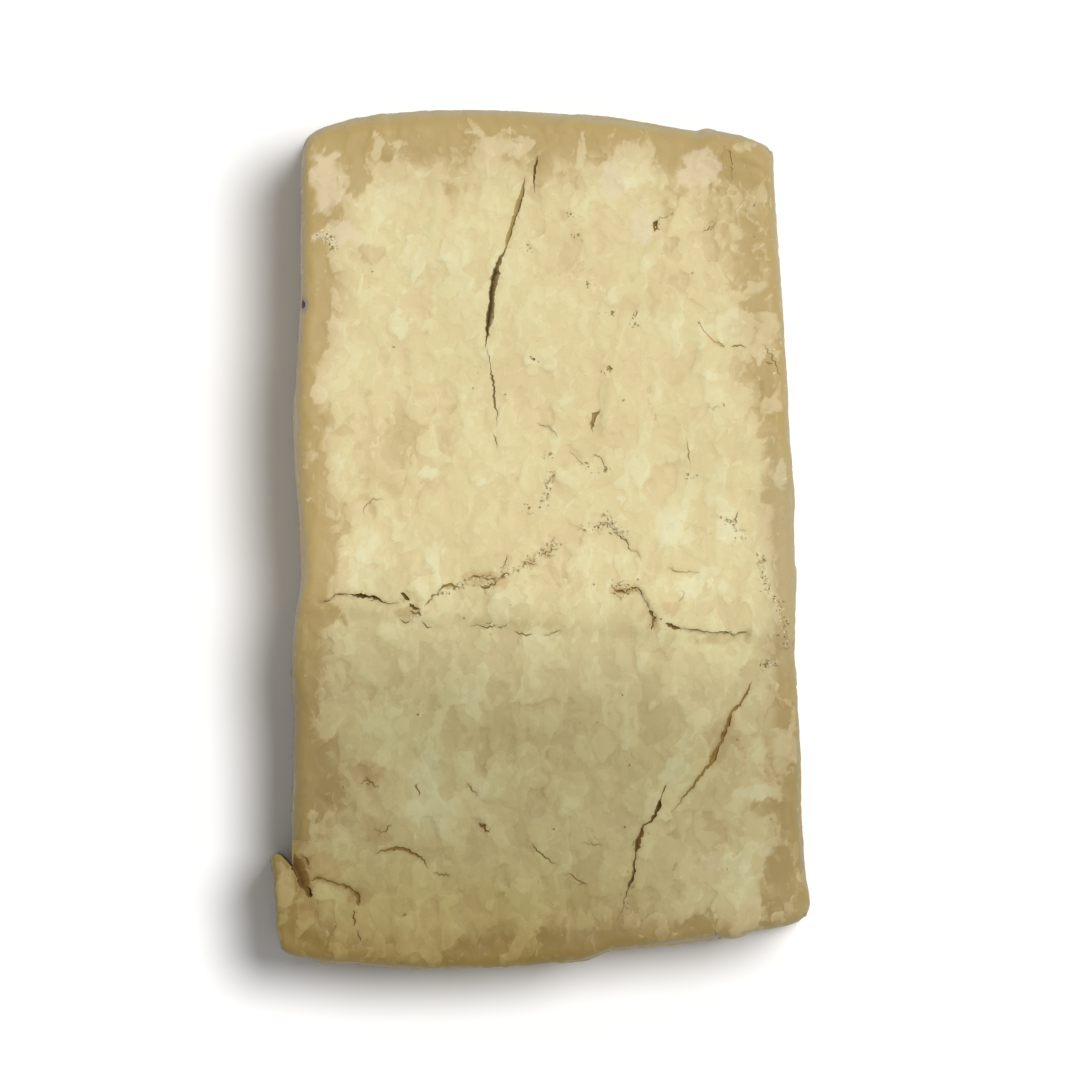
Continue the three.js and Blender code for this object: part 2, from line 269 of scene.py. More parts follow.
@dataclass
class Plan:
    """The chunk's outline from above: four bowed sides, small steps, and the kicked-out split corner."""

    back_left: Spot = (-47.6, 79.4)
    back_right: Spot = (46.6, 77.9)
    front_right: Spot = (53.2, -76.2)
    front_left: Spot = (-49.8, -82.8)
    back_bends: tuple[Spot, Spot] = ((-38.7, 90.7), (28.7, 85.1))
    front_bends: tuple[Spot, Spot] = ((-37.0, -89.2), (41.8, -83.6))
    left_bends: tuple[Spot, Spot] = ((-49.3, -28.7), (-48.6, 26.7))
    right_bends: tuple[Spot, Spot] = ((50.6, -24.0), (50.2, 26.3))
    wear: tuple[Spot, Spot, Spot, Spot] = ((7.0, 1.0), (7.0, 1.3), (2.5, 0.6), (2.5, 0.7))
    wave_depth: float = 0.5
    wave_length: float = 52.0
    wave_crest: float = 27.0
    back_step: tuple[float, float, float] = (0.7, 31.0, 33.0)
    front_step: tuple[float, float, float] = (1.7, 8.0, 15.0)
    step_fade: float = 0.9
    left_bumps: tuple[Bump, ...] = ((-6.0, 15.0, -1.0), (-35.0, 9.0, -0.5), (-57.0, 13.0, 0.5))
    right_bumps: tuple[Bump, ...] = (
        (62.0, 24.0, -0.6), (16.0, 32.0, 0.4), (-20.0, 11.0, -0.3), (-56.0, 11.0, -0.5), (-73.0, 7.0, 0.9))
    back_bumps: tuple[Bump, ...] = ((24.0, 10.0, -0.3), (43.0, 8.0, 0.6))
    front_bumps: tuple[Bump, ...] = (
        (-46.5, 3.5, -0.5), (-37.0, 9.0, -0.4), (-10.0, 22.0, 0.35), (38.6, 4.5, 1.0), (44.5, 4.0, 0.4))
    split_top: float = -60.4
    split_ramp: float = 0.6
    kick_at_top: float = 4.6
    kick_at_foot: float = 2.5

    def __post_init__(self) -> None:
        """Lays out the four sides."""
        kicked = (self.front_left[0] - self.kick_at_foot, self.front_left[1])
        self.back = SideCurve(self.back_left, self.back_bends, self.back_right)
        self.front = SideCurve(kicked, self.front_bends, self.front_right)
        self.left = SideCurve(self.front_left, self.left_bends, self.back_left)
        self.right = SideCurve(self.front_right, self.right_bends, self.back_right)

    def _bumped(self, bumps: tuple[Bump, ...], place: np.ndarray) -> np.ndarray:
        """Adds up how far a side's bulges stand out, or its dents fall back.

        Args:
            bumps: The middle of each along the side, its reach and how far out it goes.
            place: Places along the side.

        Returns:
            One distance for each place.
        """
        return sum(out * (1 - smoothstep(np.abs(place - at), 0, reach)) for at, reach, out in bumps)

    def _stepped(self, side: SideCurve, step: tuple[float, float, float], share: np.ndarray) -> np.ndarray:
        """Walks the back or the front side, with its small step.

        Args:
            side: The side's curve.
            step: How far the step stands out, and where it starts and ends.
            share: The shares of the way along the side.

        Returns:
            One point for each share.
        """
        points = side.at(share)
        rise, start, end = step
        fade = 1 - smoothstep(share, self.step_fade, 1)
        points[:, 1] += rise * smoothstep(points[:, 0], start, end) * fade
        return points

    def back_side(self, share: np.ndarray) -> np.ndarray:
        """Walks the back from left to right."""
        points = self._stepped(self.back, self.back_step, share)
        points[:, 1] += self._bumped(self.back_bumps, points[:, 0])
        return points

    def front_side(self, share: np.ndarray) -> np.ndarray:
        """Walks the front from left to right."""
        points = self._stepped(self.front, self.front_step, share)
        points[:, 1] -= self._bumped(self.front_bumps, points[:, 0])
        return points

    def split_share(self, y: np.ndarray) -> np.ndarray:
        """Is 1 on the split corner's stretch of the left side, and 0 on the rest of it."""
        return 1 - smoothstep(y, self.split_top - self.split_ramp, self.split_top + self.split_ramp)

    def left_side(self, share: np.ndarray) -> np.ndarray:
        """Walks the left side from the split corner to the back.

        Args:
            share: The shares of the way along it.

        Returns:
            One point for each share.
        """
        points = self.left.at(share)
        y = points[:, 1]
        wave = np.cos(2 * math.pi * (y - self.wave_crest) / self.wave_length)
        up = np.clip((y - self.front_left[1]) / (self.split_top - self.front_left[1]), 0, 1)
        kick = mix(self.kick_at_foot, self.kick_at_top, up) * self.split_share(y)
        bow = self.wave_depth * wave * np.sin(math.pi * share)
        points[:, 0] -= bow + kick + self._bumped(self.left_bumps, y)
        return points

    def right_side(self, share: np.ndarray) -> np.ndarray:
        """Walks the right side from the front to the back."""
        points = self.right.at(share)
        points[:, 0] += self._bumped(self.right_bumps, points[:, 1])
        return points

    def corners(self) -> list[np.ndarray]:
        """Gives the corners: front left, front right, back left and back right."""
        ends = np.array([0.0, 1.0])
        return [*self.front_side(ends), *self.back_side(ends)]

    def spread(self, across: np.ndarray, along: np.ndarray) -> np.ndarray:
        """Blends the four sides into places of the plan, with the upright corners worn round.

        Args:
            across: The shares of the way from left to right.
            along: The shares of the way from front to back.

        Returns:
            One place in the plan for each pair.
        """
        s, t = across[:, None], along[:, None]
        front, back = self.front_side(across), self.back_side(across)
        left, right = self.left_side(along), self.right_side(along)
        fl, fr, bl, br = self.corners()
        twice = mix(mix(fl, fr, s), mix(bl, br, s), t)
        places = mix(front, back, t) + mix(left, right, s) - twice
        for corner, (reach, depth) in zip((fl, fr, bl, br), self.wear):
            near = np.clip(1 - np.hypot(*(places - corner).T) / reach, 0, 1)
            places -= np.outer(depth * near**2, corner / np.hypot(*corner))
        return places

    def margins(self, places: np.ndarray) -> dict[Wall, np.ndarray]:
        """Measures how far places are from each side.

        Args:
            places: Places in the plan.

        Returns:
            The distances, for each wall.
        """
        share = np.linspace(0, 1, SIDE_POINTS)
        x, y = places[:, 0], places[:, 1]
        back, front = self.back_side(share), self.front_side(share)
        left, right = self.left_side(share), self.right_side(share)
        return {
            Wall.FRONT: y - np.interp(x, front[:, 0], front[:, 1]),
            Wall.RIGHT: np.interp(y, right[:, 1], right[:, 0]) - x,
            Wall.BACK: np.interp(x, back[:, 0], back[:, 1]) - y,
            Wall.LEFT: x - np.interp(y, left[:, 1], left[:, 0]),
        }


@dataclass
class Face:
    """The broken face: level behind a crease, falling away in front of it, pressed out of flat curds."""

    thickness: float = 45.0
    crease: float = -15.5
    crease_slant: float = -0.07
    ledge: float = 0.9
    ledge_run: float = 4.0
    fall: float = 0.1
    softness: float = 5.0
    swells: tuple[tuple[float, float], ...] = ((0.7, 30.0), (0.4, 13.0))
    curd_across: float = 11.0
    curd_along: float = 16.0
    curd_lift: float = 0.25
    curd_tilt: float = 0.02
    curd_edge: float = 16.0

    def below(self, places: np.ndarray) -> np.ndarray:
        """Measures how far places are in front of the crease."""
        return self.crease + self.crease_slant * places[:, 0] - places[:, 1]

    def curds(self, places: np.ndarray) -> np.ndarray:
        """Works out how far the pressed curds stand out, with soft joins between them.

        Args:
            places: Places in a plane.

        Returns:
            One height for each place.
        """
        size = np.array([self.curd_across, self.curd_along])
        cell = np.floor(places / size)
        total, lift = np.zeros(len(places)), np.zeros(len(places))
        for step in itertools.product((-1, 0, 1), repeat=2):
            i, j = (cell + step).T
            x, y, rise, tilt = (
                scatter(draw.value, i, j)
                for draw in (Layer.CURD_X, Layer.CURD_Y, Layer.CURD_LIFT, Layer.CURD_TILT))
            away = places - np.stack([i + x, j + y], axis=1) * size
            weight = np.exp(-self.curd_edge * np.hypot(*(away / size).T))
            total += weight
            tipped = self.curd_tilt * (2 * tilt - 1) * away[:, 0]
            lift += weight * (self.curd_lift * (2 * rise - 1) + tipped)
        return lift / total

    def height(self, places: np.ndarray) -> np.ndarray:
        """Gives the face's height away from the shoulders.

        Args:
            places: Places in the plan.

        Returns:
            One height for each place.
        """
        below = self.below(places)
        bend = self.softness * np.log1p(np.exp(below / self.softness))
        z = self.thickness - self.fall * bend - self.ledge * smoothstep(below, 0, self.ledge_run)
        for n, (rise, size) in enumerate(self.swells):
            z += rise * lumps(places / size, Layer.SWELL.value + n)
        return z + self.curds(places)


# How a crack's route is broken: the size of its jags, and the grid and the share of its sharper kinks.
JAG_SIZE = 1.5
KINK_GRID = 0.05
KINK_SHARE = 0.7
LEAST_STEPS = 6

# How a crack's gap closes over shares of its length, and how uneven its width is on the way.
END_SHARE = 0.3
START_SHARE = 0.25
CLOSING_POWER = 0.7
UNEVEN_SIZE = 1.9
UNEVEN_MEAN = 0.8
UNEVEN_LIMITS = (0.12, 1.5)
LEAST_HALF_GAP = 0.03

# How the lips of a crack split: the pace, the length, the spread and the size of the short splits.
SPLIT_PACE = 0.5
SPLIT_START = (0.15, 0.6)
SPLIT_LENGTH = (0.9, 1.7)
SPLIT_ASIDE = (0.4, 1.0)
SPLIT_AHEAD = (0.5, 1.0)
SPLIT_JITTER = 0.15
SPLIT_SIZE = (0.2, 0.4)


@dataclass(frozen=True)
class Crack:
    """A crack: the bends of its route, its widest gap and depth, and how it leans, steps and is stained.

    A positive lean puts its foot nearer the left lip, seen along the route. A step leaves the right lip
    lower. The floor is its foot's width as a share of the gap. The more ragged it is, the more its gap opens
    and closes. Its walls are painted darker towards the foot, from the darkness given: painted shade.
    """

    route: tuple[Spot, ...]
    gap: float
    depth: float
    lean: float = 0.0
    step: float = 0.0
    stain: float = 0.3
    jag: float = 0.3
    ragged: float = 0.5
    floor: float = 0.15
    dark: float = 0.0
    splinters: int = 0
    opens_at_start: bool = False

    def torn_off(self, draw: np.random.Generator) -> list["Crack"]:
        """Draws the short splits beside the crack, where its lips have begun to crumble.

        Args:
            draw: The source of the draws.

        Returns:
            The splits.
        """
        points, left, _ = self.walk(SPLIT_PACE)
        splits = []
        for _ in range(self.splinters):
            n = int(draw.integers(1, len(points) - 1))
            out = left[n] * draw.choice((-1, 1))
            ahead = np.array([left[n][1], -left[n][0]]) * draw.choice((-1, 1))
            way = out * draw.uniform(*SPLIT_ASIDE) + ahead * draw.uniform(*SPLIT_AHEAD)
            ends = points[n] + np.outer((*SPLIT_START, draw.uniform(*SPLIT_LENGTH)), way)
            route = tuple((float(x), float(y)) for x, y in ends + draw.normal(0, SPLIT_JITTER, ends.shape))
            gap, depth = draw.uniform(*SPLIT_SIZE), draw.uniform(*SPLIT_SIZE)
            splits.append(Crack(route, gap=gap, depth=depth, stain=self.stain))
        return splits

    def walk(self, pace: float) -> tuple[np.ndarray, np.ndarray, np.ndarray]:
        """Walks the route with small jags, as crumbly curd breaks.

        Args:
            pace: The length of a step.

        Returns:
            The points, the direction to the left at each, and the shares of the way along.
        """
        bends = np.array(self.route)
        walked = np.concatenate([[0], np.cumsum(np.hypot(*np.diff(bends, axis=0).T))])
        share = np.linspace(0, 1, max(LEAST_STEPS, round(walked[-1] / pace)) + 1)
        columns = [np.interp(share * walked[-1], walked, bends[:, axis]) for axis in (0, 1)]
        points = np.stack(columns, axis=1)
        ahead = np.gradient(points, axis=0)
        left = np.stack([-ahead[:, 1], ahead[:, 0]], axis=1) / np.hypot(*ahead.T)[:, None]
        kinks = 2 * scatter(Layer.KINK.value, *np.rint(points / KINK_GRID).T) - 1
        aside = self.jag * (rough(points / JAG_SIZE, Layer.JAG.value) + KINK_SHARE * kinks)
        return points + left * aside[:, None], left, share

    def widths(self, points: np.ndarray, share: np.ndarray) -> np.ndarray:
        """Gives half the gap along the walked route, closing towards each closed end.

        Args:
            points: The walked points.
            share: The shares of the way along.

        Returns:
            Half a gap for each point.
        """
        closing = np.minimum(1, (1 - share) / END_SHARE)
        if not self.opens_at_start:
            closing = closing * np.minimum(1, share / START_SHARE)
        uneven = UNEVEN_MEAN + self.ragged * rough(points / UNEVEN_SIZE, Layer.GAP.value)
        half = self.gap / 2 * closing**CLOSING_POWER * np.clip(uneven, *UNEVEN_LIMITS)
        return np.maximum(LEAST_HALF_GAP, half)


# How far a patch's border is torn, and from where to where it fades, in shares of its half size.
PATCH_TEAR = 0.45
PATCH_BORDER = (-0.1, 0.25)


@dataclass(frozen=True)
class Patch:
    """A patch of the face that stands out from its surroundings: its middle, half sizes, kind and turn."""

    middle: Spot
    across: float
    along: float
    kind: Curd = Curd.FLAKE
    turn: float = 0.0

    def share(self, places: np.ndarray, ragged: np.ndarray) -> np.ndarray:
        """Is 1 well inside the patch and 0 outside it, with a ragged border.

        Args:
            places: Places in the plan.
            ragged: How far the border is torn at each place, from about -1 to 1.

        Returns:
            One share for each place.
        """
        away = places - self.middle
        turn = math.radians(self.turn)
        across = (away[:, 0] * math.cos(turn) + away[:, 1] * math.sin(turn)) / self.across
        along = (away[:, 1] * math.cos(turn) - away[:, 0] * math.sin(turn)) / self.along
        inward = 1 - np.hypot(across, along) + PATCH_TEAR * ragged
        return smoothstep(inward, *PATCH_BORDER)


CRACKS = (
    Crack(((-3.2, 72.6), (-4.0, 68.5), (-5.0, 65.5), (-6.0, 62.6), (-6.6, 60.0), (-7.4, 57.0)), gap=1.5,
          depth=0.9, lean=0.9, stain=0.2, jag=0.1, ragged=0.25, splinters=1),
    Crack(((-6.9, 58.2), (-7.8, 56.3), (-8.7, 54.0), (-9.3, 51.5), (-9.6, 49.0), (-9.8, 46.5),
           (-10.2, 43.5), (-10.6, 40.5), (-10.9, 38.2)), gap=1.5, depth=1.6, lean=-0.9, stain=0.2,
          jag=0.15, ragged=0.3, splinters=2),
    Crack(((-8.6, 55.6), (-9.8, 51.6), (-10.1, 47.8), (-10.5, 43.8), (-10.9, 38.4)), gap=0.4, depth=1.7,
          jag=0.12),
    Crack(((-10.9, 38.2), (-10.2, 35.4), (-9.8, 33.2), (-9.0, 28.4), (-8.7, 22.4)), gap=0.5, depth=0.6,
          jag=0.25),
    Crack(((-0.5, 76.8), (-1.0, 74.2), (-1.3, 71.8), (-1.1, 69.0)), gap=0.7, depth=0.9, jag=0.15),
    Crack(((-45.0, -13.0), (-44.1, -12.6), (-41.7, -11.8), (-40.5, -10.8), (-39.3, -11.2),
           (-37.6, -11.1)), gap=0.5, depth=0.5, step=0.4, jag=0.25),
    Crack(((-38.2, -11.0), (-36.6, -11.4), (-35.3, -11.6), (-33.4, -11.6), (-31.6, -12.3)), gap=1.2,
          depth=1.4, lean=0.4, step=0.4, stain=0.5, jag=0.2, ragged=0.3, dark=0.3, splinters=2),
    Crack(((-32.6, -11.8), (-31.7, -12.4), (-30.2, -12.9), (-28.4, -13.1)), gap=0.6, depth=0.6, step=0.3),
    Crack(((-28.1, -10.9), (-27.2, -11.6), (-26.2, -12.4)), gap=1.2, depth=1.2, stain=0.5, ragged=0.3,
          dark=0.3, splinters=1),
    Crack(((-26.2, -12.8), (-25.2, -13.4), (-24.0, -14.0)), gap=1.1, depth=1.1, stain=0.5, ragged=0.3,
          dark=0.2),
    Crack(((-26.2, -14.2), (-25.0, -14.8), (-23.6, -15.3)), gap=0.6, depth=0.5, jag=0.4, splinters=2),
    Crack(((-28.2, -16.2), (-27.2, -16.7), (-26.0, -16.6)), gap=0.4, depth=0.4),
    Crack(((-23.7, -16.5), (-22.8, -17.4), (-21.6, -17.9)), gap=0.45, depth=0.4),
    Crack(((-23.4, -13.6), (-21.7, -11.8), (-20.1, -10.2), (-18.5, -9.2), (-16.9, -9.6), (-15.2, -9.8)),
          gap=0.9, depth=0.3, lean=0.5, step=0.4, jag=0.25),
    Crack(((-14.7, -7.8), (-12.5, -7.2), (-10.5, -7.8), (-8.3, -8.1)), gap=0.5, depth=0.5, step=0.3,
          jag=0.35, splinters=2),
    Crack(((-12.3, -9.4), (-10.9, -9.9), (-9.5, -9.4), (-8.3, -8.1)), gap=0.55, depth=0.5, jag=0.35,
          splinters=1),
    Crack(((-8.3, -8.2), (-6.9, -6.8), (-6.2, -7.4)), gap=0.45, depth=0.5, jag=0.35),
    Crack(((-6.4, -3.4), (-6.9, -4.6), (-8.0, -6.1)), gap=0.45, depth=0.5, jag=0.4),
    Crack(((-3.9, -5.6), (-2.1, -4.7), (-0.4, -4.9)), gap=0.5, depth=0.5, stain=0.5, jag=0.5,
          splinters=2),
    Crack(((-0.2, -3.6), (1.6, -2.2), (2.9, 0.4)), gap=0.5, depth=0.5, stain=0.5, jag=0.5, splinters=2),
    Crack(((-14.0, -17.6), (-12.0, -17.5), (-10.6, -17.9), (-8.8, -17.7)), gap=0.7, depth=0.5, lean=0.5,
          splinters=1),
    Crack(((-8.6, -17.9), (-7.4, -17.5), (-6.6, -17.0)), gap=0.4, depth=0.4),
    Crack(((-5.4, -18.6), (-3.6, -19.0), (-1.6, -19.1)), gap=0.45, depth=0.4),
    Crack(((0.4, -19.2), (1.8, -18.8), (4.2, -18.2)), gap=0.4, depth=0.4),
    Crack(((14.7, -10.2), (17.1, -10.9), (19.3, -9.5)), gap=1.1, depth=0.7, lean=0.4, step=0.4, stain=0.6,
          jag=0.4, splinters=3),
    Crack(((19.1, -9.3), (20.1, -10.8), (20.9, -12.4), (22.0, -14.2)), gap=0.45, depth=0.7, step=0.4,
          jag=0.15),
    Crack(((21.6, -14.2), (22.7, -15.5), (22.4, -16.4), (22.1, -18.2)), gap=1.7, depth=1.4, stain=0.8,
          jag=0.2, dark=0.3),
    Crack(((27.9, -10.2), (28.9, -10.8), (28.3, -11.6), (27.6, -12.8)), gap=0.6, depth=0.2, stain=0.13,
          jag=0.2),
    Crack(((24.9, -16.9), (26.5, -17.4), (28.2, -17.9)), gap=1.0, depth=0.9, stain=0.4, jag=0.2),
    Crack(((27.4, -17.8), (28.7, -18.0), (31.5, -18.4), (34.7, -18.8), (37.9, -19.0), (38.7, -19.4),
           (39.7, -18.7), (40.9, -18.7), (42.4, -19.4)), gap=0.8, depth=0.35, lean=0.7, step=0.7,
          stain=0.2, jag=0.12),
    Crack(((13.0, 3.4), (16.6, -0.2), (18.4, -2.2), (20.4, -4.1)), gap=0.4, depth=0.5, step=0.25,
          jag=0.25),
    Crack(((25.2, -5.9), (28.4, -6.9), (31.9, -6.5)), gap=0.5, depth=0.22, step=0.25, stain=0.13),
    Crack(((42.4, -28.4), (39.9, -32.8), (38.1, -34.4), (37.2, -37.5), (34.2, -44.2), (32.2, -46.9),
           (28.9, -51.2), (26.0, -54.8)), gap=1.3, depth=0.7, lean=0.5, step=0.3, stain=0.5, jag=0.15,
          ragged=0.4, floor=0.35),
    Crack(((25.2, -49.0), (24.5, -50.6), (23.8, -52.4)), gap=0.45, depth=0.6, stain=0.5, jag=0.1),
    Crack(((24.1, -51.8), (23.5, -54.0), (22.9, -55.2), (21.9, -57.0)), gap=1.4, depth=1.7, lean=-0.4,
          stain=0.6, jag=0.2, ragged=0.3, dark=0.3),
    Crack(((22.2, -56.2), (21.6, -56.6), (20.3, -57.8)), gap=0.6, depth=0.7, stain=0.6, jag=0.2),
    Crack(((20.8, -57.2), (20.1, -59.0), (19.8, -60.2), (19.6, -61.6), (19.4, -63.0)), gap=1.7, depth=1.6,
          lean=-0.7, stain=0.7, jag=0.2, ragged=0.3, dark=0.1, splinters=2),
    Crack(((19.5, -62.0), (19.1, -63.8), (18.5, -66.2), (17.2, -71.5), (15.2, -76.9)), gap=0.6, depth=0.7,
          stain=0.5, jag=0.2, splinters=2),
    Crack(((18.9, -65.0), (18.3, -67.6), (17.6, -70.4)), gap=0.7, depth=1.2, stain=0.5, jag=0.2),
    Crack(((-33.4, -63.0), (-30.8, -62.2), (-27.4, -61.9), (-25.1, -62.9), (-23.4, -64.2),
           (-22.6, -66.0)), gap=1.1, depth=0.7, lean=0.4, stain=0.6, jag=0.25, ragged=0.4, dark=0.15),
    Crack(((-32.6, -59.4), (-31.2, -58.4), (-29.8, -56.9)), gap=0.45, depth=0.4, stain=0.5, splinters=2),
    Crack(((-36.2, -48.6), (-34.2, -48.2), (-32.1, -49.6)), gap=0.5, depth=0.4, stain=0.5, jag=0.4,
          splinters=2),
    Crack(((-24.4, -48.8), (-24.6, -51.6)), gap=0.6, depth=0.4, jag=0.4),
    Crack(((-21.6, -67.0), (-20.0, -67.4), (-18.0, -67.2)), gap=0.9, depth=0.4, stain=0.6),
    Crack(((-14.9, -48.7), (-13.4, -50.2), (-12.1, -51.7)), gap=0.4, depth=0.35, step=0.2),
    Crack(((-12.3, -56.6), (-11.2, -57.6), (-10.0, -58.6)), gap=1.1, depth=0.8, stain=0.5),
    Crack(((-46.2, -68.6), (-44.8, -68.0), (-43.3, -68.2), (-41.1, -69.1), (-37.7, -70.1),
           (-36.6, -71.6)), gap=1.1, depth=0.5, lean=0.5, step=0.4, stain=0.8, jag=0.2, ragged=0.3,
          dark=0.1, splinters=1),
    Crack(((-37.2, -70.2), (-36.4, -71.4), (-36.4, -73.4)), gap=1.2, depth=0.7, stain=0.6, jag=0.3),
    Crack(((-37.8, -74.4), (-37.2, -76.0), (-37.2, -77.6)), gap=0.5, depth=0.5, stain=0.5, jag=0.3),
    Crack(((-36.9, -78.2), (-36.4, -79.4), (-35.9, -80.8)), gap=0.45, depth=0.4, stain=0.5, jag=0.3),
    Crack(((-3.1, -60.2), (-0.5, -62.4), (0.9, -63.6), (3.4, -65.2)), gap=0.45, depth=0.4),
    Crack(((4.3, -67.0), (6.4, -67.6), (9.6, -68.9)), gap=0.45, depth=0.4, splinters=1),
    Crack(((8.3, -60.8), (10.4, -60.9), (12.3, -61.6)), gap=0.35, depth=0.35),
    Crack(((-35.3, 4.6), (-34.8, 7.0), (-33.6, 8.0), (-31.3, 7.8)), gap=0.3, depth=0.3, stain=0.15),
    Crack(((-49.3, -63.0), (-48.4, -65.4), (-47.6, -67.6), (-46.9, -69.6), (-46.2, -71.8)), gap=3.0,
          depth=1.7, lean=-0.6, stain=0.9, jag=0.1, ragged=0.25, floor=0.1, dark=0.32, splinters=2),
    Crack(((-46.9, -69.2), (-46.3, -70.4), (-45.9, -71.8)), gap=1.0, depth=1.6, stain=0.7, jag=0.2,
          dark=0.3),
    Crack(((-47.9, -62.6), (-47.2, -63.8), (-46.8, -65.6)), gap=0.8, depth=0.5, stain=0.7, jag=0.3,
          dark=0.2),
    Crack(((11.8, 26.0), (11.0, 24.7), (10.4, 23.2), (10.6, 21.2)), gap=1.1, depth=0.6, stain=0.2,
          jag=0.25),
    Crack(((-0.8, 23.1), (1.6, 22.4), (2.7, 21.2), (3.4, 20.2)), gap=0.35, depth=0.45, step=0.25,
          jag=0.2),
    Crack(((5.8, 17.8), (6.9, 16.6), (9.0, 14.9)), gap=0.3, depth=0.45, jag=0.2),
    Crack(((11.5, 16.8), (12.4, 15.2), (13.2, 13.4)), gap=0.5, depth=0.6, jag=0.2, splinters=1),
    Crack(((-9.4, 21.0), (-8.9, 19.8), (-8.8, 18.2)), gap=0.3, depth=0.4),
    Crack(((31.6, 43.8), (32.4, 41.6), (34.4, 39.8), (36.6, 38.2)), gap=0.4, depth=0.22, step=-0.3,
          stain=0.1, jag=0.15),
    Crack(((34.8, 39.8), (35.8, 38.9), (36.8, 38.2)), gap=1.3, depth=0.3, stain=0.13, jag=0.2),
    Crack(((38.0, 38.4), (39.6, 38.7), (41.4, 38.4)), gap=0.4, depth=0.4, jag=0.2),
    Crack(((44.3, 39.3), (45.9, 36.6), (47.2, 34.2), (48.0, 32.4)), gap=0.45, depth=0.25, stain=0.2,
          jag=0.4, splinters=1),
    Crack(((29.2, 20.6), (29.5, 18.2), (29.9, 14.8)), gap=0.45, depth=0.3, step=-0.3, jag=0.2),
    Crack(((33.4, 26.9), (34.3, 25.6), (35.6, 26.6)), gap=0.35, depth=0.45),
    Crack(((22.4, 61.4), (22.8, 62.8), (23.3, 63.8)), gap=1.2, depth=0.9, jag=0.25),
    Crack(((23.1, 63.6), (24.6, 64.2), (26.2, 64.9)), gap=0.35, depth=0.2, stain=0.15, jag=0.3),
    Crack(((35.4, 63.2), (34.4, 62.8), (33.6, 62.2), (32.7, 61.0)), gap=0.5, depth=0.4, jag=0.35,
          splinters=2),
    Crack(((36.6, 78.8), (37.2, 76.4), (37.5, 73.6), (38.2, 70.8)), gap=2.2, depth=0.3, stain=0.09,
          jag=0.2, ragged=0.3, floor=0.85),
    Crack(((36.4, -83.0), (35.5, -80.4), (34.9, -78.6)), gap=1.3, depth=8, stain=0, jag=0.2,
          opens_at_start=True),
)


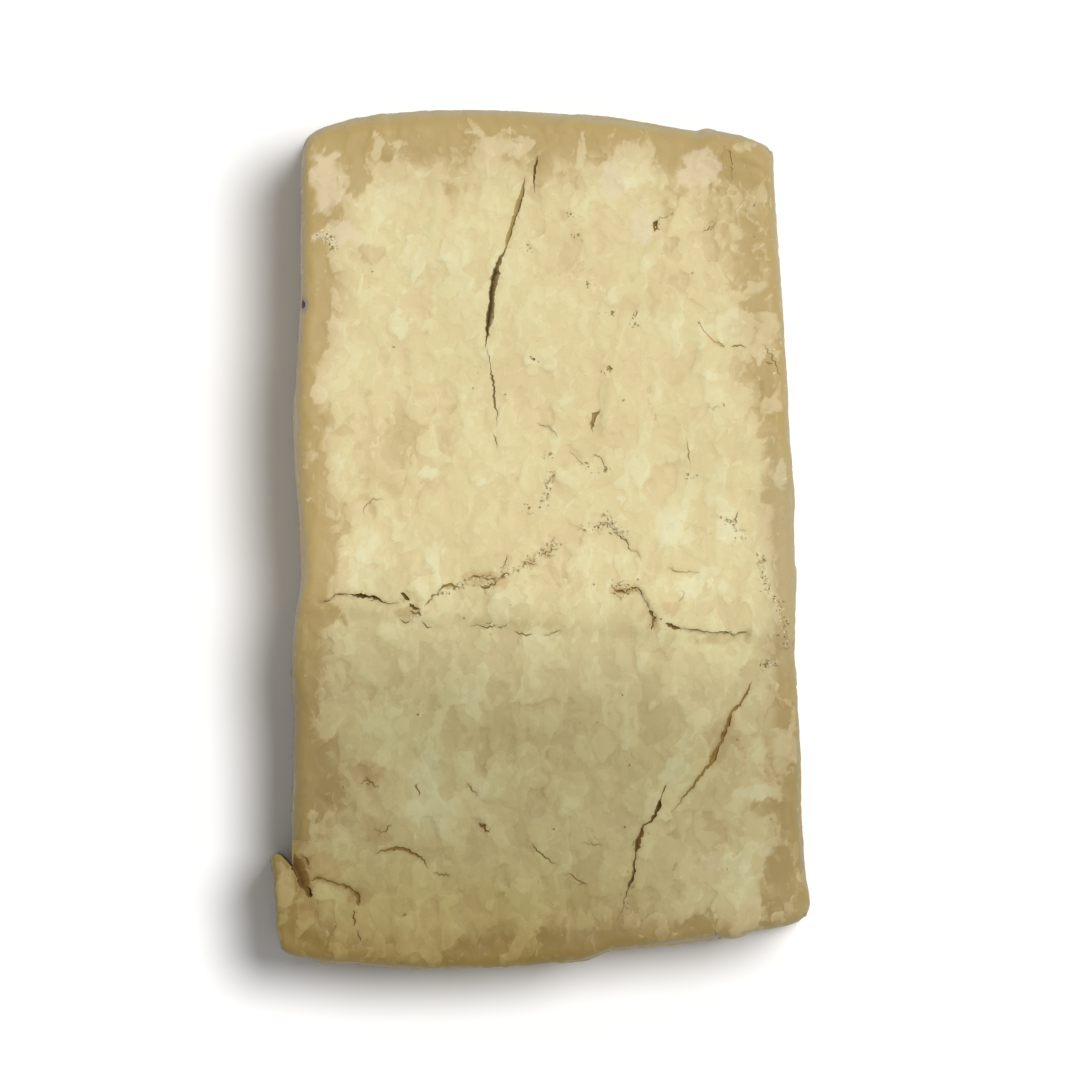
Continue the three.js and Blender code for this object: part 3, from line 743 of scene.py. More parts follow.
PATCHES = (
    Patch((-43.0, 71.5), 3.7, 5.4, Curd.BLUSH),
    Patch((14.4, 70.2), 2.2, 5.0, Curd.BLUSH),
    Patch((19.9, 63.0), 2.6, 4.2, Curd.BLUSH),
    Patch((31.6, 74.1), 4.2, 3.8, Curd.BLUSH),
    Patch((-40.4, 60.8), 4.2, 2.6, Curd.BLUSH),
    Patch((34.7, -64.6), 2.0, 1.8, Curd.BLUSH),
    Patch((45.1, -62.4), 1.4, 1.2, Curd.BLUSH),
    Patch((-32.5, 79.0), 1.3, 2.8),
    Patch((-28.9, 79.5), 1.6, 1.6),
    Patch((-30.5, 69.4), 4.0, 7.4, Curd.CREAM),
    Patch((-14.2, 82.6), 2.6, 1.8),
    Patch((-6.8, 78.9), 6.6, 3.0),
    Patch((-8.6, 70.0), 5.0, 8.0, Curd.CREAM),
    Patch((-23.8, 73.2), 1.5, 0.9),
    Patch((8.1, 78.6), 0.9, 3.6),
    Patch((18.1, 75.6), 5.0, 6.0),
    Patch((40.1, 78.5), 3.0, 1.3),
    Patch((41.8, 50.4), 5.6, 1.4, Curd.CREAM),
    Patch((37.6, 42.5), 5.6, 4.0, Curd.CREAM),
    Patch((45.7, 39.0), 2.8, 6.0, Curd.CREAM),
    Patch((46.0, 26.4), 2.4, 2.4, Curd.CREAM),
    Patch((45.8, 32.4), 2.0, 4.2, Curd.BARE),
    Patch((45.0, 21.6), 2.0, 1.2, Curd.BARE),
    Patch((39.4, 32.6), 4.2, 4.0, Curd.WAXY),
    Patch((-30.5, 77.2), 1.3, 1.7, Curd.BARE),
    Patch((-24.0, 67.4), 1.3, 2.8, Curd.WAXY),
    Patch((-17.6, 68.6), 1.1, 3.2, Curd.WAXY),
    Patch((48.2, 13.0), 1.3, 4.6),
    Patch((26.4, 2.2), 5.0, 3.7),
    Patch((31.8, -9.1), 5.0, 3.2),
    Patch((37.7, 1.8), 2.6, 3.4),
    Patch((-46.7, 16.6), 1.8, 4.6),
    Patch((-44.1, 29.0), 1.5, 2.0),
    Patch((-46.3, 7.8), 1.8, 0.6),
    Patch((-35.7, -3.7), 3.7, 7.0),
    Patch((-38.7, 15.0), 3.0, 4.0, Curd.CREAM),
    Patch((-22.1, 13.1), 2.4, 1.5),
    Patch((-21.4, -3.5), 1.5, 3.5),
    Patch((-45.6, -57.1), 1.0, 4.0),
    Patch((-22.7, -52.3), 4.0, 9.0),
    Patch((26.9, -45.6), 3.0, 3.0),
    Patch((43.4, -42.4), 2.2, 3.0),
    Patch((48.9, -42.6), 2.4, 4.4),
    Patch((43.2, -50.7), 5.0, 1.6),
    Patch((37.7, -66.4), 5.5, 5.0, Curd.CREAM),
    Patch((41.6, -75.4), 4.6, 4.0, Curd.CREAM),
    Patch((-36.7, 73.0), 2.6, 4.2, Curd.BARE),
    Patch((-41.0, 65.2), 1.8, 2.4, Curd.BARE),
    Patch((-43.6, 47.9), 2.0, 9.5, Curd.BARE),
    Patch((-33.6, 57.1), 2.2, 2.4, Curd.BARE),
    Patch((17.0, 74.7), 1.1, 3.0, Curd.BARE),
    Patch((37.3, 75.6), 1.0, 3.6, Curd.BARE),
    Patch((43.9, 47.2), 4.4, 1.4, Curd.BARE),
    Patch((44.6, 13.7), 1.8, 3.6, Curd.WAXY),
    Patch((45.6, 8.3), 2.0, 1.6, Curd.BARE),
    Patch((-38.9, 23.8), 5.5, 4.2, Curd.WAXY),
    Patch((-43.4, -15.0), 4.6, 2.4, Curd.BARE),
    Patch((-42.1, -48.8), 3.5, 5.0, Curd.BARE),
    Patch((44.5, -53.4), 2.4, 3.4, Curd.BARE),
    Patch((46.9, -68.0), 3.2, 7.0, Curd.BARE),
    Patch((32.0, 57.0), 11.0, 12.0, Curd.WAXY),
    Patch((-28.0, 18.0), 10.0, 13.0, Curd.WAXY),
    Patch((36.0, -44.0), 6.0, 9.0, Curd.WAXY),
    Patch((-41.0, -46.0), 6.0, 9.0, Curd.WAXY),
    Patch((3.0, 58.0), 5.0, 9.0, Curd.WAXY),
    Patch((22.0, 49.0), 8.0, 5.0, Curd.WAXY),
    Patch((30.0, -62.0), 8.0, 12.0, Curd.WAXY),
    Patch((-51.6, -71.0), 2.4, 8.0),
    Patch((-33.0, -58.0), 3.0, 3.5, Curd.OCHRE),
    Patch((-35.0, -47.4), 3.0, 2.6, Curd.OCHRE),
    Patch((-43.1, -65.8), 4.4, 3.0, Curd.OCHRE),
    Patch((-45.7, -74.2), 3.0, 2.6, Curd.OCHRE),
    # An olive strip below the right crease's ledge: a painted shadow under the ledge.
    Patch((35.0, -20.3), 5.8, 1.1, Curd.BARE),
    Patch((-26.4, -14.8), 2.4, 1.1, Curd.OCHRE),
    Patch((-11.2, -8.2), 5.0, 1.5, Curd.OCHRE),
    Patch((-2.1, -4.9), 1.8, 1.2, Curd.OCHRE),
    Patch((1.6, -2.2), 1.8, 1.3, Curd.OCHRE, 45),
    Patch((16.6, -10.2), 2.8, 1.2, Curd.OCHRE),
    Patch((26.2, -13.8), 2.0, 1.6, Curd.OCHRE),
    Patch((22.7, -16.4), 1.3, 1.7, Curd.OCHRE),
    Patch((-36.2, -71.6), 2.2, 1.5, Curd.OCHRE),
    Patch((-47.4, -66.8), 2.4, 3.8, Curd.OCHRE),
    Patch((36.0, -40.6), 1.3, 6.0, Curd.OCHRE, -22),
)

# Single pits: place and half width.
PITS = (
    (22.9, 62.2, 0.7), (13.7, 34.2, 0.9), (12.9, 13.8, 0.8), (-42.9, 60.8, 0.5), (-41.6, 58.2, 0.5),
    (29.5, 12.8, 0.45), (-2.3, 6.2, 0.5), (14.4, 45.3, 0.6), (19.2, 45.0, 0.5), (18.9, 43.0, 0.4),
    (-1.5, 36.0, 0.5), (9.4, 51.0, 0.5), (-2.6, 58.8, 0.4), (7.5, 60.8, 0.4), (6.1, 64.9, 0.4),
    (22.7, -15.8, 0.9), (-11.4, -57.2, 0.7), (1.8, 16.9, 0.5), (9.2, 15.2, 0.5),
)

# Crumbly stretches, where the curd has broken into small pits and loose grains.
CRUMBLY = (
    ((1.8, 13.2), (1.2, 7.2)),
    ((-43.4, 61.2), (-42.0, 59.6), (-41.2, 57.8)),
    ((44.0, -3.3), (45.1, -8.8), (46.9, -12.2), (48.4, -14.8), (49.1, -21.8)),
    ((44.0, -24.6), (47.0, -25.0)),
    ((36.2, 4.4), (38.4, 4.0), (39.9, 0.4)),
    ((8.5, 2.6), (11.9, 1.4), (13.1, 5.0), (14.9, 2.4), (17.5, 0.2)),
    ((-20.0, -10.8), (-14.0, -8.4), (-8.0, -7.8), (-2.0, -4.4), (3.0, -0.8)),
    ((14.0, -9.8), (19.0, -9.6)),
)


def add_node(tree: bpy.types.NodeTree, kind: str, inputs: dict, **settings: object) -> bpy.types.Node:
    """Adds a node, sets it up and links it.

    Args:
        tree: The node tree.
        kind: The node's type.
        inputs: For each input socket, by name or number, a value or the socket that feeds it.
        settings: The node's own settings.

    Returns:
        The node.
    """
    node = tree.nodes.new(kind)
    for name, value in settings.items():
        setattr(node, name, value)
    for socket, value in inputs.items():
        if isinstance(value, Socket):
            tree.links.new(value, node.inputs[socket])
        else:
            node.inputs[socket].default_value = value
    return node


@dataclass(frozen=True)
class CurdPattern:
    """How the curd breaks: plates, flakes and grains, each torn along ragged edges and drawn out lengthways.

    The same nodes raise the mesh and colour it, so that a flake's edge and its colour fall together.
    """

    plate: float = 10.0
    flake: float = 3.8
    grain: float = 1.3
    stretch: float = 0.66
    bend_size: float = 5.0
    bend: float = 4.0
    tear_size: float = 1.3
    tear: float = 1.1
    tip: float = 1.4
    isle: float = 9.0
    scrap: float = 3.4
    shore: Spot = (0.45, 0.57)

    def add_to(self, tree: bpy.types.NodeTree, metres: Socket) -> dict[str, Socket]:
        """Adds the pattern's nodes to a tree.

        Args:
            tree: A material's or a modifier's node tree.
            metres: The socket that gives places on the cheese.

        Returns:
            The sockets of the tears, the places, the tipped height of each size of curd, and the isles and
            scraps of flake, which are made up of whole flakes and grains.
        """
        def vector(operation: str, *values: object, way: int | str = 0) -> Socket:
            """Works on vectors."""
            node = add_node(tree, "ShaderNodeVectorMath", dict(enumerate(values)), operation=operation)
            return node.outputs[way]

        places = vector("MULTIPLY", metres, (1 / MM,) * 3)
        torn = places
        noises = []
        for size, reach, detail in ((self.bend_size, self.bend, 1.0), (self.tear_size, self.tear, 3.0)):
            noises.append(add_node(tree, "ShaderNodeTexNoise", {
                "Vector": places, "Scale": 1 / size, "Detail": detail}))
            torn = vector("MULTIPLY_ADD", noises[-1].outputs["Color"], (reach,) * 3, torn)
        drawn = vector("MULTIPLY", torn, (1, self.stretch, 1))
        sockets = {"tear": noises[1].outputs["Fac"], "places": places, "drawn": drawn}
        middles = {}
        for name in ("plate", "flake", "grain"):
            size = getattr(self, name)
            cells = add_node(tree, "ShaderNodeTexVoronoi", {"Vector": drawn, "Scale": 1 / size})
            middles[name] = cells.outputs["Position"]
            own = vector("DOT_PRODUCT", cells.outputs["Color"], (0, 0, 1), way="Value")
            lean = vector("SUBTRACT", cells.outputs["Color"], (0.5, 0.5, 0.5))
            tipped = vector("DOT_PRODUCT", lean, vector("SUBTRACT", drawn, middles[name]), way="Value")
            sockets[name] = add_node(tree, "ShaderNodeMath", {0: tipped, 1: self.tip / size, 2: own},
                                     operation="MULTIPLY_ADD").outputs[0]
        for name, cell in (("isle", "flake"), ("scrap", "grain")):
            clouds = add_node(tree, "ShaderNodeTexNoise", {
                "Vector": middles[cell], "Scale": 1 / getattr(self, name), "Detail": 2.0})
            sockets[name] = add_node(tree, "ShaderNodeMapRange", {
                "Value": clouds.outputs["Fac"], "From Min": self.shore[0], "From Max": self.shore[1]},
                interpolation_type="SMOOTHSTEP").outputs["Result"]
        return sockets


@dataclass(frozen=True)
class Margin:
    """The browned margin along a wall: its reach, and where along X or Y it narrows and to what share.

    The band, where there is one, is the plain brown strip between its two distances from the wall.
    """

    reach: float
    narrowed: float = 1.0
    axis: int = 0
    narrows: Spot = (0.0, 1.0)
    band: Spot | None = None


MARGINS = {
    Wall.FRONT: Margin(13.0, narrowed=0.65, axis=0, narrows=(-5.0, 20.0)),
    Wall.RIGHT: Margin(14.0, narrowed=0.66, axis=1, narrows=(46.0, 34.0)),
    Wall.BACK: Margin(18.5, band=(1.0, 11.0)),
    # The band along the left wall is painted shade, on the side turned away from the key light.
    Wall.LEFT: Margin(16.5, narrowed=0.74, axis=1, narrows=(40.0, 30.0), band=(0.5, 7.0)),
}

# A crack, the places near it, how far aside they are, and how far they are from its ends.
Beside = tuple[Crack, np.ndarray, np.ndarray, np.ndarray]


@dataclass
class CheddarChunk:
    """The chunk of cheese: one closed piece, pressed, cracked and pitted."""

    plan: Plan = field(default_factory=Plan)
    face: Face = field(default_factory=Face)
    pitch: float = 0.6
    wall_rows: int = 22
    shoulder_back: float = 4.0
    shoulder_left: float = 3.2
    shoulder_right: float = 3.0
    shoulder_front: float = 2.2
    shoulder_split: float = 1.4
    foot_inset: float = 1.6
    foot_height: float = 4.0
    wall_rise: float = 0.7
    wall_size: float = 16.0
    pattern: CurdPattern = field(default_factory=CurdPattern)
    plate_lift: float = 0.14
    flake_lift: float = 0.11
    grain_lift: float = 0.05
    isle_lift: float = 0.12
    scrap_lift: float = 0.1
    mould_at: Spot = (-47.5, 46.8)
    mould_reach: float = 2.4
    mould_drop: float = 1.7
    mould_shape: tuple[float, float, float] = (1.0, 0.95, 0.6)
    crack_pace: float = 0.45
    cutter_rise: float = 3.0
    fine_pits: int = 30
    crumbly_splits: int = 5
    specks_by_pit: int = 3
    notch: tuple[Spot, ...] = (
        (-49.7, -65.6), (-51.6, -63.6), (-52.1, -63.2), (-52.8, -63.0), (-53.6, -63.2), (-54.2, -63.9),
        (-54.5, -65.2), (-60.0, -65.2), (-60.0, -57.0), (-49.7, -57.0))
    notch_ends: Spot = (-10.0, 60.0)
    smooth_below: float = 40.0
    corner_power: int = 4
    patch_tear: float = 2.4
    patch_heights: Spot = (30.0, 36.0)
    crack_fade: float = 0.12
    calm_share: float = 0.9
    base_snap: float = 0.4
    settle_heights: Spot = (25.0, 32.0)
    step_reach: float = 6.0
    roll: float = 0.12
    roll_reach: float = 1.4
    lip_rise: float = 0.3
    lip_flare: float = 1.1
    lip_ragged: float = 0.5
    least_foot: float = 0.15
    pit_width: float = 0.8
    pit_spread: float = 0.7
    crumbly_widths: Spot = (0.12, 0.35)
    speck_widths: Spot = (0.1, 0.25)
    fine_across: Spot = (-44.0, 47.0)
    fine_along: Spot = (-78.0, 76.0)
    fine_widths: Spot = (0.12, 0.3)
    pit_sides: int = 11
    pit_turns: Spot = (-0.3, 0.3)
    pit_reaches: Spot = (0.4, 1.5)
    pit_oval: Spot = (1.25, 0.75)
    pit_rise: float = 1.2
    pit_ledge: Spot = (0.85, 0.05)
    pit_depth: Spot = (0.15, 0.5)
    pit_stain: float = 0.65
    shade_reach: float = 3.0
    shade_depth: float = 3.0
    margin_size: float = 14.0
    margin_uneven: float = 0.3
    margin_at_foot: float = 0.55
    margin_heights: Spot = (8.0, 34.0)
    grey_middle: float = -5.0
    grey_fade: Spot = (15.0, 30.0)
    grey_band: float = 0.9
    grey_band_reach: Spot = (1.0, 6.0)
    grey_share: float = 0.3
    grey_reach: Spot = (1.0, 9.0)
    rim_share: float = 0.75
    rim_slopes: Spot = (0.2, 0.9)
    rim_depths: Spot = (1.5, 5.5)
    tone_size: float = 17.0

    def build(self) -> bpy.types.Object:
        """Models the chunk and fits it to the frame.

        Returns:
            The finished piece.
        """
        self.low, self.high = (np.array(corner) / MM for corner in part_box(NODE))
        draw = np.random.default_rng(SEED + 2)
        crumbly = [Crack(route, gap=1, depth=1, splinters=self.crumbly_splits) for route in CRUMBLY]
        self.cracks = [*CRACKS, *(split for crack in (*CRACKS, *crumbly) for split in crack.torn_off(draw))]
        piece = self._press()
        self._raise_flakes(piece)
        self._settle(piece)
        self.skin = BVHTree.FromObject(piece, bpy.context.evaluated_depsgraph_get())
        self._cut(piece, [self._notch(), *(self._blade(crack) for crack in self.cracks), self._pit_cutter()])
        self._write_fields(piece)
        take_up(piece)
        bpy.ops.object.shade_smooth_by_angle(angle=math.radians(self.smooth_below))
        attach(piece, "root")
        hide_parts(NODE)
        return piece

    def _along_arc(self, share: np.ndarray, width: float, first: float, last: float) -> np.ndarray:
        """Spreads lattice lines evenly over a profile with a quarter-round shoulder at each end.

        Args:
            share: Even shares of the way over the profile.
            width: The profile's width in plan.
            first: The radius of the first shoulder.
            last: The radius of the last shoulder.

        Returns:
            The shares of the width.
        """
        quarter = math.pi / 2
        length = width + (quarter - 1) * (first + last)
        walked = share * length
        left = length - walked
        place = walked - (quarter - 1) * first
        place = np.where(walked < quarter * first, first * (1 - np.cos(walked / first)), place)
        place = np.where(left < quarter * last, width - last * (1 - np.cos(left / last)), place)
        return place / width

    def _shoulder_drop(self, across: np.ndarray, along: np.ndarray) -> np.ndarray:
        """Works out how far the soft shoulders fall below the face.

        Args:
            across: The shares of the way from left to right.
            along: The shares of the way from front to back.

        Returns:
            One drop for each pair.
        """
        left, right = self.plan.left_side(along), self.plan.right_side(along)
        back, front = self.plan.back_side(across), self.plan.front_side(across)
        width = right[:, 0] - left[:, 0]
        length = back[:, 1] - front[:, 1]
        left_radius = mix(self.shoulder_left, self.shoulder_split, self.plan.split_share(left[:, 1]))
        ways = []
        for near, near_radius, far, far_radius in (
            (across * width, left_radius, (1 - across) * width, self.shoulder_right),
            (along * length, self.shoulder_front, (1 - along) * length, self.shoulder_back),
        ):
            near_share = np.clip(1 - near / near_radius, 0, 1)
            far_share = np.clip(1 - far / far_radius, 0, 1)
            first = near_share > far_share
            ways.append((np.where(first, near_share, far_share), np.where(first, near_radius, far_radius)))
        (a, a_radius), (b, b_radius) = ways
        share = np.minimum(1, (a**self.corner_power + b**self.corner_power)**(1 / self.corner_power))
        radius = (a * a_radius + b * b_radius) / np.maximum(a + b, 1e-9)
        return radius * (1 - np.sqrt(1 - share**2))

    def _press(self) -> bpy.types.Object:
        """Presses the block out of a lattice: a grid for the face, its border drawn down, and a flat base.

        Returns:
            The block, with no cracks yet.
        """
        width, length, _ = self.high - self.low
        deselect()
        bpy.ops.mesh.primitive_grid_add(
            x_subdivisions=round(width / self.pitch), y_subdivisions=round(length / self.pitch), size=2)
        piece = bpy.context.object
        piece.name = piece.data.name = "cheddar"
        bpy.ops.object.mode_set(mode="EDIT")
        bpy.ops.mesh.select_all(action="SELECT")
        bpy.ops.mesh.region_to_loop()
        for _ in range(self.wall_rows):
            bpy.ops.mesh.extrude_edges_move(TRANSFORM_OT_translate={"value": (0, 0, -1)})
        bpy.ops.mesh.edge_face_add()
        face_outwards()

        lattice = places_of(piece) * MM
        across = self._along_arc((lattice[:, 0] + 1) / 2, width, self.shoulder_left, self.shoulder_right)
        along = self._along_arc((lattice[:, 1] + 1) / 2, length, self.shoulder_front, self.shoulder_back)
        up = 1 + lattice[:, 2] / self.wall_rows
        places = self.plan.spread(across, along)
        rim = self.face.height(places) - self._shoulder_drop(across, along)
        z = rim * up
        foot = self.foot_inset * (1 - smoothstep(z, 0, self.foot_height))
        unrolled = np.stack([places[:, 0] - places[:, 1], z], axis=1)
        lump = self.wall_rise * lumps(unrolled / self.wall_size, Layer.WALL.value)
        swell = np.sin(math.pi * up) * (lump + self.face.curds(unrolled))
        outward = places / np.hypot(*places.T)[:, None]
        places = places + outward * (swell - foot)[:, None]
        move_to(piece, np.column_stack([places, z]))
        return piece

    def _patches(self, places: np.ndarray) -> tuple[np.ndarray, np.ndarray, np.ndarray]:
        """Works out where the listed patches are.

        Args:
            places: Places in space.

        Returns:
            How flaky each place is, from -1 on bare curd to 1, how pinkish and how ochre.
        """
        flake, blush, ochre = (np.zeros(len(places)) for _ in range(3))
        ragged = rough(places / self.patch_tear, Layer.FLAKE_TEAR.value)
        up = smoothstep(places[:, 2], *self.patch_heights)
        for patch in PATCHES:
            share = up * patch.share(places[:, :2], ragged)
            flake = np.where(np.abs(share) > np.abs(flake), patch.kind.value * share, flake)
            if patch.kind is Curd.BLUSH:
                blush = np.maximum(blush, share)
            if patch.kind is Curd.OCHRE:
                ochre = np.maximum(ochre, share)
        return flake, blush, ochre

    def _near_cracks(self, plan: np.ndarray, reach: float) -> list[Beside]:
        """Measures the places that lie near each crack.

        Args:
            plan: Places in the plan.
            reach: How near counts.

        Returns:
            For each crack, which places are near, how far each is to the left of the route, and how far it
            is from the closed ends, from 0 to 1.
        """
        found = []
        for crack in self.cracks:
            points, left, share = crack.walk(self.crack_pace)
            boxed = np.all((plan > points.min(0) - reach) & (plan < points.max(0) + reach), axis=1)
            near = np.flatnonzero(boxed)
            away = plan[near][:, None, :] - points[None, :, :]
            closest = np.argmin((away**2).sum(2), axis=1)
            apart = away[np.arange(len(near)), closest]
            aside = np.hypot(*apart.T) * np.sign((apart * left[closest]).sum(1))
            keep = np.abs(aside) < reach
            along = share[closest][keep]
            ends = smoothstep(along, 0, self.crack_fade) * (1 - smoothstep(along, 1 - self.crack_fade, 1))
            found.append((crack, near[keep], aside[keep], ends))
        return found

    def _raise_flakes(self, piece: bpy.types.Object) -> None:
        """Lifts plates, flakes and grains of curd off the pressed surface.

        Args:
            piece: The block.
        """
        tree = bpy.data.node_groups.new("curd_relief", "GeometryNodeTree")
        for way in ("INPUT", "OUTPUT"):
            tree.interface.new_socket("Geometry", in_out=way, socket_type="NodeSocketGeometry")
        write_field(piece, "calm", np.clip(-self._patches(places_of(piece))[0], 0, 1))
        calm = add_node(
            tree, "GeometryNodeInputNamedAttribute", {"Name": "calm"}, data_type="FLOAT").outputs[0]
        block = tree.nodes.new("NodeGroupInput").outputs[0]
        curd = self.pattern.add_to(tree, tree.nodes.new("GeometryNodeInputPosition").outputs[0])
        lifts = {name: getattr(self, f"{name}_lift") for name in ("plate", "flake", "grain", "isle", "scrap")}
        lift = -sum(lifts.values()) / 2
        for name, share in lifts.items():
            lift = add_node(tree, "ShaderNodeMath", {0: curd[name], 1: share, 2: lift},
                            operation="MULTIPLY_ADD").outputs[0]
        kept = add_node(tree, "ShaderNodeMath", {0: calm, 1: -self.calm_share * MM, 2: MM},
                        operation="MULTIPLY_ADD").outputs[0]
        metres = add_node(tree, "ShaderNodeMath", {0: lift, 1: kept}, operation="MULTIPLY").outputs[0]
        normal = tree.nodes.new("GeometryNodeInputNormal").outputs[0]
        offset = add_node(tree, "ShaderNodeVectorMath", {0: normal, "Scale": metres},
                          operation="SCALE").outputs[0]
        raised = add_node(tree, "GeometryNodeSetPosition", {"Geometry": block, "Offset": offset}).outputs[0]
        add_node(tree, "NodeGroupOutput", {0: raised})
        take_up(piece)
        modifier = piece.modifiers.new("curd_relief", "NODES")
        modifier.node_group = tree
        bpy.ops.object.modifier_apply(modifier=modifier.name)
        bpy.data.node_groups.remove(tree)

    def _settle(self, piece: bpy.types.Object) -> None:
        """Steps and rolls the face down beside the cracks, and keeps the block flat below and inside its box.

        Args:
            piece: The block.
        """
        places = places_of(piece)
        places[:, 2] = np.where(places[:, 2] < self.base_snap, 0, places[:, 2])
        top = smoothstep(places[:, 2], *self.settle_heights)
        for crack, near, aside, ends in self._near_cracks(places[:, :2], self.step_reach):
            lower = crack.step * (1 - smoothstep(-aside, 0, self.step_reach)) * (aside < 0)
            rolled = self.roll * min(1, crack.gap) * (1 - smoothstep(np.abs(aside), 0, self.roll_reach))
            places[near, 2] -= (lower + rolled) * ends * top[near]
        move_to(piece, np.clip(places, self.low, self.high))

    def _lips(self, points: np.ndarray) -> np.ndarray:
        """Finds how high the block's skin is, before anything is cut.

        Args:
            points: Places in the plan.

        Returns:
            One height for each place, or the face's own height off the block.
        """
        heights = self.face.height(points)
        for n, (x, y) in enumerate(points):
            found = self.skin.ray_cast(Vector((x * MM, y * MM, 1)), Vector((0, 0, -1)))[0]
            if found is not None:
                heights[n] = found.z / MM
        return heights

    def _blade(self, crack: Crack) -> bpy.types.Object:
        """Models the empty space of one crack: a long wedge that follows its route.

        Args:
            crack: The crack.

        Returns:
            The wedge.
        """
        points, left, share = crack.walk(self.crack_pace)
        half = crack.widths(points, share)
        cells = np.rint(points / KINK_GRID).T
        left_half, right_half = (
            half * (1 + self.lip_ragged * crack.ragged * (2 * scatter(lip.value, *cells) - 1))
            for lip in (Layer.LEFT_LIP, Layer.RIGHT_LIP))
        lip = self._lips(points)
        foot = lip - crack.depth * np.clip(half / (crack.gap / 2), self.least_foot, 1)
        above, top = lip + self.lip_rise, lip + self.cutter_rise
        corners = (
            (self.lip_flare * left_half, top), (left_half, above),
            ((crack.lean + crack.floor) * half, foot), ((crack.lean - crack.floor) * half, foot),
            (-right_half, above), (-self.lip_flare * right_half, top),
        )
        rings = np.stack([np.column_stack([points + left * out[:, None], z]) for out, z in corners], axis=1)

        deselect()
        bpy.ops.mesh.primitive_cylinder_add(vertices=len(corners), radius=1, depth=2)
        blade = bpy.context.object
        ends = np.array([[blade.data.vertices[v].co.z for v in edge.vertices] for edge in blade.data.edges])
        bpy.ops.object.mode_set(mode="EDIT")
        bpy.ops.mesh.select_mode(type="EDGE")
        bpy.ops.mesh.select_all(action="DESELECT")
        bpy.ops.object.mode_set(mode="OBJECT")
        blade.data.edges.foreach_set("select", np.abs(np.diff(ends, axis=1)[:, 0]) > 1)
        bpy.ops.object.mode_set(mode="EDIT")
        bpy.ops.mesh.subdivide(number_cuts=len(points) - 2)
        bpy.ops.object.mode_set(mode="OBJECT")
        straight = places_of(blade) * MM
        ring = np.rint((straight[:, 2] + 1) / 2 * (len(points) - 1)).astype(int)
        move_to(blade, rings[ring, corners_of(straight, len(corners))])
        face_outwards()
        shade = min(1, 4 * crack.stain) * min(1, 0.5 + 0.55 * crack.gap)
        write_field(blade, "cut", np.full(len(blade.data.polygons), shade), "FACE")
        return blade

    def _notch(self) -> bpy.types.Object:
        """Models the empty space over the split corner: a prism that goes right through the block.

        Returns:
            The prism.
        """
        deselect()
        bpy.ops.mesh.primitive_cylinder_add(vertices=len(self.notch), radius=1, depth=2)
        prism = bpy.context.object
        straight = places_of(prism) * MM
        corner = corners_of(straight, len(self.notch))
        z = np.where(straight[:, 2] < 0, *self.notch_ends)
        move_to(prism, np.column_stack([np.array(self.notch)[corner], z]))
        face_outwards()
        return prism

    def _pit_places(self) -> np.ndarray:
        """Draws where the pits are: those listed, those of the crumbly stretches, and fine ones.

        Returns:
            A row for each pit: its place and half width.
        """
        draw = np.random.default_rng(SEED)
        rows = [np.array(PITS) * (1, 1, self.pit_width)]
        for route in CRUMBLY:
            points = Crack(route, 1, 1).walk(self.pit_spread)[0]
            aside = draw.normal(0, self.pit_spread, points.shape)
            rows.append(np.column_stack([points + aside, draw.uniform(*self.crumbly_widths, len(points))]))
        near = np.repeat(rows[0][:, :2], self.specks_by_pit, axis=0)
        aside = draw.normal(0, self.pit_spread, near.shape)
        rows.append(np.column_stack([near + aside, draw.uniform(*self.speck_widths, len(near))]))
        spans = (self.fine_across, self.fine_along, self.fine_widths)
        fine = np.column_stack([draw.uniform(*span, self.fine_pits) for span in spans])
        return np.concatenate([*rows, fine])

    def _pit_cutter(self) -> bpy.types.Object:
        """Joins the empty spaces of all pits: small uneven cones that point into the cheese.

        Returns:
            The cones, as one mesh.
        """
        draw = np.random.default_rng(SEED + 1)
        sides = self.pit_sides
        vertices, faces = [], []
        for x, y, size in self._pit_places():
            lip = self._lips(np.array([[x, y]]))[0]
            turn = 2 * math.pi * (np.arange(sides) + draw.uniform(*self.pit_turns, sides)) / sides
            reach = size * draw.uniform(*self.pit_reaches, sides)
            way = draw.uniform(0, math.pi)
            long, short = self.pit_oval[0] * reach * np.cos(turn), self.pit_oval[1] * reach * np.sin(turn)
            ring = np.stack([x + long * math.cos(way) - short * math.sin(way),
                             y + long * math.sin(way) + short * math.cos(way)], axis=1)
            first = len(vertices)
            narrowed, sunk = self.pit_ledge
            least, deeper = self.pit_depth
            vertices += [(*spot, lip + self.pit_rise) for spot in ring]
            vertices += [(*spot, lip - sunk) for spot in mix(np.array([x, y]), ring, narrowed)]
            vertices.append((x, y, lip - least - deeper * size))
            around = [(n, (n + 1) % sides) for n in range(sides)]
            faces.append([first + n for n in range(sides)])
            faces += [(first + a, first + sides + a, first + sides + b, first + b) for a, b in around]
            faces += [(first + sides + a, first + 2 * sides, first + sides + b) for a, b in around]
        mesh = bpy.data.meshes.new("pits")
        mesh.from_pydata([tuple(MM * n for n in vertex) for vertex in vertices], [], faces)
        pits = bpy.data.objects.new("pits", mesh)
        bpy.context.collection.objects.link(pits)
        write_field(pits, "cut", np.full(len(faces), self.pit_stain), "FACE")
        return pits

    def _cut(self, piece: bpy.types.Object, cutters: list[bpy.types.Object]) -> None:
        """Cuts the cracks and pits out of the block.

        Args:
            piece: The block.
            cutters: The empty spaces, which are then removed.
        """
        write_field(piece, "cut", np.zeros(len(piece.data.polygons)), "FACE")
        for cutter in cutters:
            take_up(piece)
            modifier = piece.modifiers.new("cut", "BOOLEAN")
            modifier.operation = "DIFFERENCE"
            modifier.solver = "MANIFOLD"
            modifier.object = cutter
            before = len(piece.data.vertices)
            bpy.ops.object.modifier_apply(modifier=modifier.name)
            log.info("cut %s: %d vertices more", cutter.name, len(piece.data.vertices) - before)
            bpy.data.meshes.remove(cutter.data)

